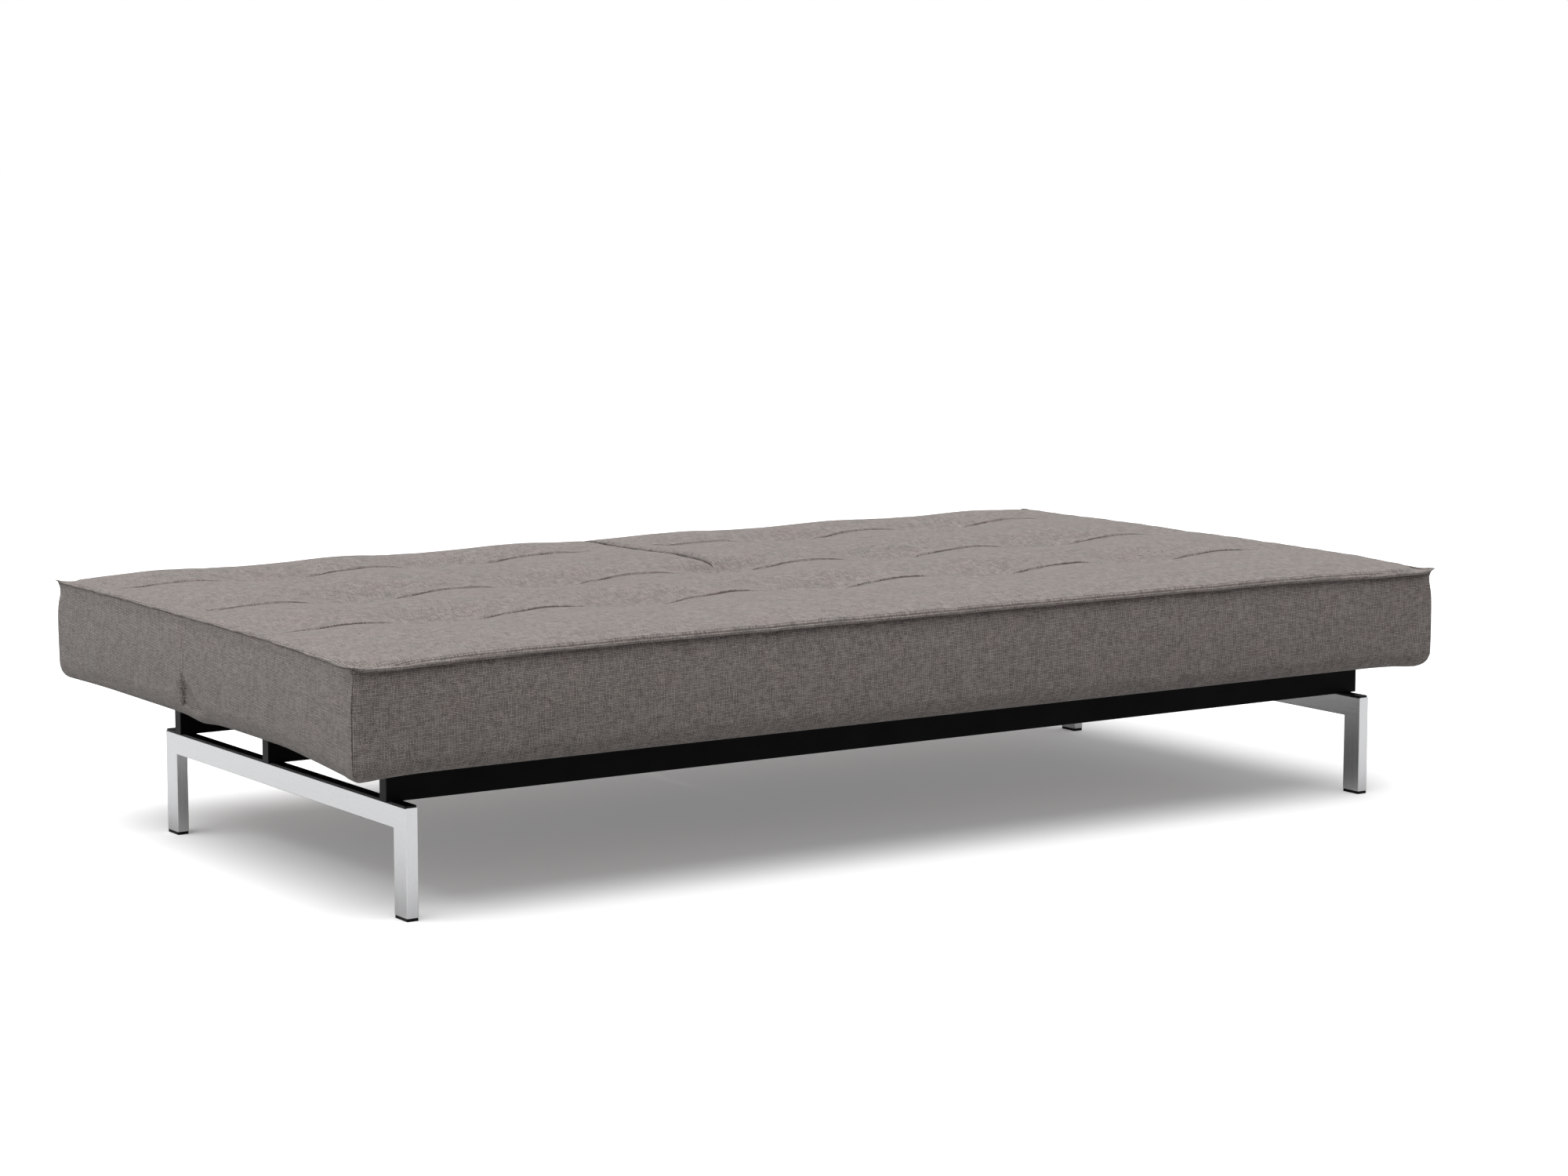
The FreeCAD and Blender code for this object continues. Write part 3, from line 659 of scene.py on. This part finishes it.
    def flange(self) -> list[tuple[float, float]]:
        """The seam's section, where top and border are sewn together into a flat flange.

        Returns:
            How far out and how far below the seam each ring lies, from the border up.
        """
        section = [(-2.4, 12.5), (-4.0, 9.6), (0.2, 8.4), (3.8, 8.1), (5.0, 6.6), (5.0, 4.0), (4.0, 2.7),
                   (0.8, 2.8), (-2.4, 4.8)]
        return [(out * MM, drop * MM) for out, drop in section]

    def build(self) -> dict[Piece, Object]:
        """Makes the whole cover and cuts it into its three pieces.

        Returns:
            The three mesh objects.
        """
        x_rows, y_rows, rings = self.rows_of_mesh()
        counts = (len(x_rows) - 1, len(y_rows) - 1, len(rings))
        whole = self.gridded_box(counts)
        index = np.array([v.co for v in whole.verts])
        index = np.rint((index + 0.5) * np.array(counts)).astype(int)
        places = self.shape(index, counts, x_rows, y_rows, rings)
        for vertex, place in zip(whole.verts, places):
            vertex.co = place
        self.lay_cloth(whole, index, counts)
        made = {}
        for piece in Piece:
            part = whole.copy()
            seat = piece is Piece.SEAT
            self.cut(part, (0.0, self.fold_start, 0.3), (0, 1, 0), keep_front=seat)
            if not seat:
                self.cut(part, (0.0, 0.2, 0.3), (1, 0, 0), keep_front=piece is Piece.BACK_LEFT)
                self.open_slit(part, -1.0 if piece is Piece.BACK_LEFT else 1.0)
            made[piece] = self.finish(part, piece)
            part.free()
        whole.free()
        return made

    def gridded_box(self, counts: tuple[int, int, int]) -> bmesh.types.BMesh:
        """Makes a unit box whose faces are cut into rows.

        Args:
            counts: number of faces along X, Y and Z.

        Returns:
            The box.
        """
        box = bmesh.new()
        bmesh.ops.create_cube(box, size=1.0)
        for axis, count in enumerate(counts):
            along = [e for e in box.edges if abs(e.verts[0].co[axis] - e.verts[1].co[axis]) > 0.5]
            bmesh.ops.subdivide_edges(box, edges=along, cuts=count - 1, use_grid_fill=True)
        box.verts.ensure_lookup_table()
        return box

    def shape(self, index: np.ndarray, counts: tuple[int, int, int], x_rows: np.ndarray, y_rows: np.ndarray,
              rings: list[Ring]) -> np.ndarray:
        """Works out where every vertex of the box goes.

        Args:
            index: row numbers of each vertex.
            counts: number of faces along X, Y and Z.
            x_rows: rows along X.
            y_rows: rows along Y.
            rings: rings of the border from the underside up.

        Returns:
            One place for each vertex.
        """
        x, y = x_rows[index[:, 0]], y_rows[index[:, 1]]
        level = index[:, 2]
        sides = (index[:, 0] == 0) | (index[:, 0] == counts[0])
        sides = sides | (index[:, 1] == 0) | (index[:, 1] == counts[1])
        is_top, is_under = (level == counts[2]) & ~sides, (level == 0) & ~sides
        place = np.zeros((len(x), 3))
        flat, outward = self.outline(x, y, self.corner_radius)
        sharp, sharp_out = self.outline(x, y, self.seam_radius)
        at_seam = (level > len(rings) - len(self.flange()) + 1)[:, None]
        place[:, :2] = np.where(at_seam, sharp, flat)
        outward = np.where(at_seam, sharp_out, outward)
        place[is_top, 2] = self.top(x, y)[is_top]
        out, inset, z = self.border(x, y, level, rings)
        place[sides, :2] += outward[sides] * out[sides, None]
        place[sides, 2] = z[sides]
        inset[is_under] = self.bottom_radius + 1 * MM
        low_half = sides | is_under
        place[low_half, :2] = self.tucked(place[low_half, :2], inset[low_half])
        place[is_under, 2] = self.under(x, y)[is_under]
        return place

    def on_end(self, x: np.ndarray) -> np.ndarray:
        """Tells which places are on the end panels.

        Args:
            x: places along X.

        Returns:
            True where a place is on an end panel.
        """
        return self.half_length - np.abs(x) < 0.1 * MM

    def edge_distance(self, x: np.ndarray, y: np.ndarray) -> np.ndarray:
        """Distance to the nearest edge, rounded where two edges are equally near.

        The ends count as nearer than they are, so that the crown rises more gently from them.

        Args:
            x: places along X.
            y: places along Y.

        Returns:
            The distance from each place.
        """
        end, side = self.end_ease * (self.half_length - np.abs(x)), self.half_depth - np.abs(y)
        soft = 30 * MM
        nearest = -soft * np.log(np.exp(-end / soft) + np.exp(-side / soft))
        return nearest * (1 - np.exp(-np.minimum(end, side) / (8 * MM)))

    def seam(self, x: np.ndarray, y: np.ndarray) -> np.ndarray:
        """Height of the top seam: lower at the front corners, with ears that stand up at all four.

        Args:
            x: places along X.
            y: places along Y.

        Returns:
            The seam's height at each place.
        """
        corner = np.hypot(self.half_length - np.abs(x), self.half_depth - np.abs(y))
        front = smooth(0.1, -0.5, y)
        z = self.seam_height + 1.5 * MM * smooth(0.9, 1.05, np.abs(x))
        z = z - 7.0 * MM * front * hump(corner, 0.20) - 1.5 * MM * (1 - front) * hump(corner, 0.16)
        z = z + 2.0 * MM * hump(corner, 0.022)
        return z + 0.8 * MM * ripple(x + 1.7 * y, (0.31, 0.173, 0.091), 0.4)

    def top(self, x: np.ndarray, y: np.ndarray) -> np.ndarray:
        """Height of the quilted top.

        Args:
            x: places along X.
            y: places along Y.

        Returns:
            The cover's height at each place.
        """
        edge = np.maximum(self.edge_distance(x, y), 0)
        full = 1 - np.exp(-((edge / self.crown_run) ** 1.15))
        column = self.column_gap * (np.floor(x / self.column_gap) + 0.5)
        pillow = np.cos(math.pi * (x - column) / self.column_gap) ** 2
        slit = smooth(self.slit_end - 0.015, self.slit_end + 0.03, y)
        rear = smooth(0.40, 0.50, y)
        rise = self.crown - (2.5 + 3.0 * rear) * MM * (1 - pillow) + 2.5 * MM * rear * pillow
        deep = self.valley_open + (self.valley_pillow - self.valley_open) * pillow
        deep = deep + (self.valley_slit - deep) * hump(x, 0.10) * slit
        part = (x - column) / self.crease_half
        crease = smooth(-1.06, -0.90, part) * (1 - smooth(0.25, 1.05, part))
        for row in self.rows:
            from_row = y - row - 4 * MM * np.clip(part, -1.2, 1.2) ** 2
            front = np.clip(1 + np.minimum(from_row, 0) / self.valley_front, 0, 1) ** 1.1
            rise = rise - deep * np.where(from_row > 0, hump(from_row, self.valley_back), front)
            behind = smooth(-0.8 * MM, 1.6 * MM, from_row) * hump(np.maximum(from_row, 0), 60 * MM)
            stitched = self.crease_step * behind - self.crease_deep * hump(from_row + 0.8 * MM, 2.0 * MM)
            rise = rise + crease * stitched
        rise = rise + 0.5 * MM * ripple(x * 0.8 + y * 0.6, (0.127, 0.081, 0.053), 1.1)
        rise = rise + slit * (self.slit_edge(np.abs(x)) + 1.8 * MM * np.sign(x) * hump(x, 40 * MM))
        shoulder = 6.4 * MM * (1 - np.exp(-edge / (1.1 * MM))) - 3.4 * MM
        return self.seam(x, y) + shoulder + (rise - 3.0 * MM) * full

    def slit_edge(self, away: np.ndarray) -> np.ndarray:
        """Section of the top beside the slit: a flange on the edge, a crease, and a round shoulder.

        Args:
            away: distance from the slit.

        Returns:
            How far the top drops there, as a negative height.
        """
        places = np.array([0.0, 0.9, 2.0, 3.8, 5.0, 6.4, 8.4, 14.0, 24.0, 60.0]) * MM
        drops = np.array([-9.0, -5.4, -4.6, -4.9, -7.8, -3.0, -1.8, -1.0, -0.5, 0.0]) * MM
        return np.interp(away, places, drops)

    def outline(self, x: np.ndarray, y: np.ndarray, radius: float) -> tuple[np.ndarray, np.ndarray]:
        """Rounds the corners in plan and pulls the edges in between them.

        Args:
            x: places along X.
            y: places along Y.
            radius: rounding of the corners.

        Returns:
            Places in plan, and the direction that is outwards there.
        """
        end, side = self.half_length - np.abs(x), self.half_depth - np.abs(y)
        a, b = (radius - end) / radius, (radius - side) / radius
        near = (a > 0) & (b > 0)
        reach = np.maximum(a, b)
        angle = np.where(a > b, b / np.maximum(a, 1e-9), 2 - a / np.maximum(b, 1e-9)) * math.pi / 4
        flat_x = np.where(near, self.half_length - radius + radius * reach * np.cos(angle), np.abs(x))
        flat_y = np.where(near, self.half_depth - radius + radius * reach * np.sin(angle), np.abs(y))
        out_x = np.where(near, np.cos(angle), (end < side).astype(float))
        out_y = np.where(near, np.sin(angle), (end >= side).astype(float))
        pull_end = 3 * MM * (1 - np.exp(-((np.maximum(side, 0) / 0.13) ** 1.4)))
        pull_side = 4 * MM * (1 - np.exp(-((np.maximum(end, 0) / 0.16) ** 1.4)))
        flat_x = flat_x - pull_end * np.exp(-np.maximum(end, 0) / 0.08)
        flat_y = flat_y - pull_side * np.exp(-np.maximum(side, 0) / 0.08)
        taper = self.end_taper * (y + self.half_depth) / (2 * self.half_depth)
        flat_x = flat_x - taper * np.exp(-np.maximum(end, 0) / 0.15)
        flat_y = flat_y - self.rear_taper * smooth(0.2, self.half_depth, y)
        sign_x, sign_y = np.where(x < 0, -1.0, 1.0), np.where(y < 0, -1.0, 1.0)
        flat = np.column_stack([flat_x * sign_x, flat_y * sign_y])
        return flat, np.column_stack([out_x * sign_x, out_y * sign_y])

    def sag(self, x: np.ndarray, y: np.ndarray) -> np.ndarray:
        """How far the underside hangs down towards the corners.

        Args:
            x: places along X.
            y: places along Y.

        Returns:
            The drop at each place.
        """
        end, side = self.half_length - np.abs(x), self.half_depth - np.abs(y)
        lip = 12 * MM * (1 - smooth(0.035, 0.100, side))
        ends = 11 * MM * (1 - smooth(0.06, 0.30, side)) * hump(end, 0.075)
        corner = 5 * MM * hump(end, 0.07) * hump(side, 0.07)
        front = np.maximum(lip, ends) + corner
        rear = 2.5 * MM * hump(end, 0.10) * hump(side, 0.12)
        dart = 5 * MM * hump(y + 0.005, 0.045) * hump(end, 0.06)
        return np.where(y < 0, front, rear) + dart

    def under(self, x: np.ndarray, y: np.ndarray) -> np.ndarray:
        """Height of the underside, with its hollows.

        Args:
            x: places along X.
            y: places along Y.

        Returns:
            The height at each place.
        """
        z = self.underside - self.sag(x, y)
        for hollow in self.recesses():
            inside = ((x > hollow.x_low - NO_SIZE) & (x < hollow.x_high + NO_SIZE)
                      & (y > hollow.y_low - NO_SIZE) & (y < hollow.y_high + NO_SIZE))
            z = np.where(inside, np.maximum(z, hollow.roof), z)
        return z

    def tucked(self, flat: np.ndarray, inset: np.ndarray) -> np.ndarray:
        """Moves places near the edges inwards, as the rounding under the border does.

        Args:
            flat: places in plan.
            inset: how far a place on the edge moves in.

        Returns:
            The moved places.
        """
        band = 60 * MM
        moved = []
        for value, half in ((flat[:, 0], self.half_length), (flat[:, 1], self.half_depth)):
            gap = half - np.abs(value)
            squeezed = np.where(gap < band, inset + gap * (1 - inset / band), gap)
            moved.append(np.where(value < 0, -1.0, 1.0) * (half - squeezed))
        return np.column_stack(moved)

    def border(self, x: np.ndarray, y: np.ndarray, level: np.ndarray,
               rings: list[Ring]) -> tuple[np.ndarray, np.ndarray, np.ndarray]:
        """Shapes the border, ring by ring.

        Args:
            x: places along X.
            y: places along Y.
            level: which ring each vertex is on.
            rings: rings of the border from the underside up.

        Returns:
            How far outwards each vertex goes, how far it is tucked in, and its height.
        """
        seam, low = self.seam(x, y), self.underside - self.sag(x, y)
        corner = np.abs((self.half_length - np.abs(x)) + (self.half_depth - np.abs(y)))
        ear, edge_middle = hump(corner, 0.020), 1 - hump(corner, 0.10)
        around = np.where(self.half_length - np.abs(x) < self.half_depth - np.abs(y), y + 7.0, x)
        out, inset, z = np.zeros_like(x), np.zeros_like(x), np.zeros_like(x)
        flange = self.flange()
        wall_low, wall_high = low + self.bottom_radius, seam - flange[0][1] - 3.0 * MM
        for number in range(len(rings) + 1):
            on = level == number
            kind, value = rings[min(number, len(rings) - 1)]
            if kind is Band.ROUND:
                inset[on] = self.bottom_radius * (1 - math.cos(value)) + 1 * MM
                z[on] = low[on] + self.bottom_radius * (1 - math.sin(value))
            elif kind is Band.WALL:
                height = wall_low[on] + (wall_high[on] - wall_low[on]) * value
                full = math.sin(math.pi * min(1.0, 0.12 + value * 0.95)) ** 0.7
                bulge = (2.0 + 3.5 * edge_middle[on]) * MM * full
                hollow = -4.0 * MM * ear[on] * hump(np.full(on.sum(), 1 - value), 0.16)
                waves = 0.7 * MM * ripple(around[on] + 0.4 * height, (0.27, 0.113, 0.067), 2.2) * full
                out[on] = -1.0 * MM + bulge + hollow + waves + self.gusset(x[on], y[on], height)
                z[on] = height
            else:
                reach, drop = flange[int(value)]
                on_end = self.on_end(x[on])
                thin = np.where(on_end, self.thin_end, 1 - (1 - self.thin_end) * hump(corner[on], 9 * MM))
                grow = np.where(on_end, 0.12 + 0.25 * ear[on], 1.0) if reach > 0 else thin
                pucker = 0.35 * MM * ripple(around[on], (0.017, 0.0113, 0.029), 0.9)
                wander = 1 + 0.15 * ripple(around[on], (0.21, 0.083), 3.1)
                out[on] = reach * grow * wander + pucker
                z[on] = seam[on] - drop * thin + 0.5 * MM * ear[on] * (reach > 0) + 0.4 * pucker * thin
        sewn = (level > CORNER_SEAM_FROM) * (level < len(rings) - len(flange) + 1)
        crease = hump(corner, 1.6 * MM) * sewn
        return out - 2.4 * MM * crease, inset, z

    def gusset(self, x: np.ndarray, y: np.ndarray, z: np.ndarray) -> np.ndarray:
        """The darts of the end panels at the fold: two seams from the top, and a sunk wedge below them.

        Args:
            x: places along X.
            y: places along Y.
            z: their heights.

        Returns:
            How far outwards each place goes.
        """
        apex = self.dart_top
        spread = np.clip((apex - z) / (apex - self.underside), 0, 1)
        rear, front = self.fold_line + 0.012 * spread, self.fold_line - 0.090 * spread
        inside = smooth(-2.5 * MM, 1.5 * MM, rear - y) * smooth(-2.5 * MM, 1.5 * MM, y - front)
        wedge = -7.0 * MM * inside * smooth(0.0, 0.25, spread)
        lines = hump(y - self.fold_line - 2 * MM, 2.2 * MM) + hump(y - self.fold_line + 9 * MM, 2.2 * MM)
        seams = -0.9 * MM * lines * smooth(apex - 10 * MM, apex, z)
        edges = -2.4 * MM * (hump(y - rear, 2.4 * MM) + hump(y - front, 2.4 * MM)) * (spread > 0)
        return np.where(self.on_end(x), wedge + seams + edges, 0.0)

    def lay_cloth(self, whole: bmesh.types.BMesh, index: np.ndarray, counts: tuple[int, int, int]) -> None:
        """Gives the cover its UV map, in metres along each cut panel.

        Args:
            whole: the shaped cover.
            index: row numbers of each vertex.
            counts: number of faces along X, Y and Z.
        """
        layer = whole.loops.layers.uv.new("cloth")
        shelf = whole.verts.layers.int.new("shelf")
        for vertex, row in zip(whole.verts, index):
            vertex[shelf] = 2 if row[2] == counts[2] else (1 if row[2] == 0 else 0)
        for face in whole.faces:
            rows = index[[v.index for v in face.verts]]
            if (rows[:, 2] == rows[0, 2]).all():
                axes, shift = (0, 1), 0.0
            elif (rows[:, 0] == rows[0, 0]).all():
                axes, shift = (1, 2), 5.0 + (rows[0, 0] > 0)
            else:
                axes, shift = (0, 2), 9.0 + (rows[0, 1] > 0)
            for loop in face.loops:
                loop[layer].uv = (loop.vert.co[axes[0]] + shift, loop.vert.co[axes[1]])

    def cut(self, part: bmesh.types.BMesh, place: tuple[float, float, float], normal: tuple[int, int, int],
            keep_front: bool) -> None:
        """Cuts the cover along a plane and closes the cut with a ladder of faces.

        Args:
            part: the cover.
            place: a point of the plane.
            normal: the plane's normal.
            keep_front: True keeps the side that the normal points away from.
        """
        everything = list(part.verts) + list(part.edges) + list(part.faces)
        bmesh.ops.bisect_plane(part, geom=everything, dist=1e-5, plane_co=place, plane_no=normal,
                               clear_outer=keep_front, clear_inner=not keep_front)
        shelf = part.verts.layers.int["shelf"]
        before = set(part.faces)
        rim = [e for e in part.edges if e.is_boundary]
        rails = [e for e in rim if e.verts[0][shelf] == e.verts[1][shelf] != 0]
        bmesh.ops.bridge_loops(part, edges=rails)
        rest = [e for e in part.edges if e.is_boundary]
        bmesh.ops.holes_fill(part, edges=rest, sides=0)
        layer, across = part.loops.layers.uv["cloth"], 1 - normal.index(1)
        for face in part.faces:
            if face not in before:
                for loop in face.loops:
                    loop[layer].uv = (loop.vert.co[across] + 13.0, loop.vert.co.z)

    def open_slit(self, part: bmesh.types.BMesh, side: float) -> None:
        """Draws a back half away from the other one behind the end of the slit.

        Args:
            part: the back half.
            side: -1 for the left half, 1 for the right one.
        """
        for vertex in part.verts:
            x, y, z = vertex.co
            near = math.exp(-abs(x) / 0.02)
            opened = float(smooth(self.slit_end - 0.01, self.slit_end + 0.09, np.array(y)))
            gap = 0.5 * self.slit_gap * opened
            belly = 0.6 * max(0.0, 1 - abs(z - 0.32) / 0.07)
            vertex.co.x += side * gap * near * (1 - belly)

    def finish(self, part: bmesh.types.BMesh, piece: Piece) -> Object:
        """Turns a cut part into its object.

        Args:
            part: the closed part.
            piece: which piece of the mattress it is.

        Returns:
            The object, at the origin.
        """
        bmesh.ops.remove_doubles(part, verts=list(part.verts), dist=NO_SIZE)
        bmesh.ops.recalc_face_normals(part, faces=list(part.faces))
        mesh = bpy.data.meshes.new(piece.value)
        part.to_mesh(mesh)
        mesh.shade_smooth()
        mesh.set_sharp_from_angle(angle=math.radians(SHARP_DEGREES))
        made = bpy.data.objects.new(piece.value, mesh)
        bpy.context.scene.collection.objects.link(made)
        mesh.materials.append(dressed(Finishes.CLOTH))
        return made

    def place(self, pieces: dict[Piece, Object]) -> None:
        """Fixes the seat to the base and puts the pieces in place of the CAD cushions; the back halves are
        not fixed to a body.

        Args:
            pieces: the three objects.
        """
        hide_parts("seat_cushion")
        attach(pieces[Piece.SEAT], "base")
        for piece, side in ((Piece.BACK_LEFT, "left"), (Piece.BACK_RIGHT, "right")):
            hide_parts(f"back_cushion_{side}")
            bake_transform(pieces[piece])
        for piece, made in pieces.items():
            log.info("%s: %d faces", piece.value, len(made.data.polygons))


# ---------- the carried-over CAD nodes ----------
MADE: dict[Finishes, Material] = {}


def dressed(finish: Finishes) -> Material:
    """Makes a finish's material once and gives it out after that.

    Args:
        finish: which finish.

    Returns:
        Its material.
    """
    if finish not in MADE:
        MADE[finish] = finish.value.make()
    return MADE[finish]


@dataclass(frozen=True)
class Hardware:
    """The rigid pieces, whose CAD shape is right: they only get their finishes."""

    starts: tuple[tuple[str, Finishes], ...] = (
        ("leg_frame", Finishes.STAINLESS),
        ("leg_strip", Finishes.BLACK_PLASTIC),
        ("foot_cap", Finishes.BLACK_PLASTIC),
        ("rail_end_plugs", Finishes.BLACK_PLASTIC),
        ("rear_rail_buffers", Finishes.RUBBER),
        ("seat_slats", Finishes.PLY),
        ("back_slats", Finishes.PLY),
        ("hinge_ratchet", Finishes.HINGE_STEEL),
        ("hinge_pawl_inner", Finishes.HINGE_STEEL),
        ("hinge_pawl_outer", Finishes.HINGE_STEEL),
        ("hinge_seat_plate", Finishes.BLACK_COAT),
        ("hinge_back_plate", Finishes.BLACK_COAT),
        ("base_rail", Finishes.BLACK_COAT),
        ("base_cross_tube", Finishes.BLACK_COAT),
        ("back_frame", Finishes.BLACK_COAT),
    )

    def dress(self) -> None:
        """Puts a finish on every CAD node that still shows; small fasteners are zinc plated."""
        for name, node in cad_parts.items():
            if node.hide_render:
                continue
            finish = next((f for start, f in self.starts if name.startswith(start)), Finishes.ZINC)
            material = dressed(finish)
            if not node.material_slots:
                node.data.materials.append(material)
            for slot in node.material_slots:
                slot.material = material
            log.info("%s: %s", name, material.name)


# ---------- studio ----------
@dataclass(frozen=True)
class Studio:
    """Plain white floor, soft light from above, and the camera."""

    camera_place: tuple[float, float, float] = (-3.4749, -5.3302, 1.1881)
    camera_yaw: float = 33.669
    camera_dip: float = 7.307
    lens: float = 85.84
    sensor: float = 36.0
    floor_size: float = 120.0
    floor_seen: str = "f2f2f2"
    floor_bounce: str = "a0a0a0"
    floor_mirrored: str = "dcdcdc"
    floor_lift: float = 0.20
    sky: float = 0.425
    sun: float = 3.8
    sun_soft: float = 82.0
    sun_tilt: tuple[float, float] = (-2.0, -10.0)

    def build(self) -> None:
        """Makes the floor, the light and the camera."""
        self.add_floor()
        self.add_light()
        self.add_camera()
        bpy.context.scene.view_settings.view_transform = "Standard"
        log.info("studio ready")

    def add_floor(self) -> None:
        """Makes the floor, which isn't part of the object."""
        flat = bmesh.new()
        bmesh.ops.create_grid(flat, x_segments=2, y_segments=2, size=self.floor_size / 2)
        mesh = bpy.data.meshes.new("studio_floor")
        flat.to_mesh(mesh)
        flat.free()
        floor = bpy.data.objects.new("studio_floor", mesh)
        bpy.context.scene.collection.objects.link(floor)
        mesh.materials.append(self.floor_finish())

    def floor_finish(self) -> Material:
        """White paper sweep: it looks bright, but throws back only as much light as a grey one.

        Returns:
            The floor's material.
        """
        material, tree, shader = Finish("matt_white_paper", self.floor_seen, 0.9).start()
        rays = add(tree, "ShaderNodeLightPath")
        sight = rays.outputs["Is Camera Ray"]
        mirrored = rays.outputs["Is Glossy Ray"]
        thrown = mix(tree, mirrored, linear(self.floor_bounce), linear(self.floor_mirrored))
        tone = mix(tree, sight, thrown, linear(self.floor_seen))
        tree.links.new(tone, shader.inputs["Base Color"])
        tree.links.new(calc(tree, "MULTIPLY", sight, self.floor_lift), shader.inputs["Emission Strength"])
        shader.inputs["Emission Color"].default_value = (1, 1, 1, 1)
        shader.inputs["Specular IOR Level"].default_value = 0.0
        return material

    def add_light(self) -> None:
        """Lights the scene with an even sky and one large soft light overhead."""
        world = bpy.data.worlds.new("studio")
        world.use_nodes = True
        tree = world.node_tree
        tree.nodes.clear()
        sight = add(tree, "ShaderNodeLightPath").outputs["Is Camera Ray"]
        dim = add(tree, "ShaderNodeBackground", {"Color": (1, 1, 1, 1), "Strength": self.sky})
        white = add(tree, "ShaderNodeBackground", {"Color": (1, 1, 1, 1), "Strength": 1.0})
        mixed = add(tree, "ShaderNodeMixShader", {0: sight, 1: dim.outputs[0], 2: white.outputs[0]})
        add(tree, "ShaderNodeOutputWorld", {"Surface": mixed.outputs[0]})
        bpy.context.scene.world = world
        lamp = bpy.data.lights.new("overhead_softbox", "SUN")
        lamp.energy = self.sun
        lamp.angle = math.radians(self.sun_soft)
        holder = bpy.data.objects.new("overhead_softbox", lamp)
        holder.rotation_euler = (math.radians(self.sun_tilt[0]), math.radians(self.sun_tilt[1]), 0.0)
        bpy.context.scene.collection.objects.link(holder)

    def add_camera(self) -> None:
        """Places the camera 1.2 m up, to the front left."""
        camera = bpy.data.cameras.new("camera")
        camera.lens = self.lens
        camera.sensor_width = self.sensor
        camera.sensor_fit = "HORIZONTAL"
        camera.clip_end = 500.0
        holder = bpy.data.objects.new("camera", camera)
        holder.location = self.camera_place
        holder.rotation_euler = (math.radians(90 - self.camera_dip), 0.0, math.radians(-self.camera_yaw))
        bpy.context.scene.collection.objects.link(holder)
        bpy.context.scene.camera = holder


def main() -> None:
    """Builds the mattress, dresses the frame and sets up the studio."""
    logging.basicConfig(level=logging.INFO, format="%(name)s: %(message)s")
    mattress = Mattress()
    mattress.place(mattress.build())
    Hardware().dress()
    Studio().build()


if __name__ == "__main__":
    main()
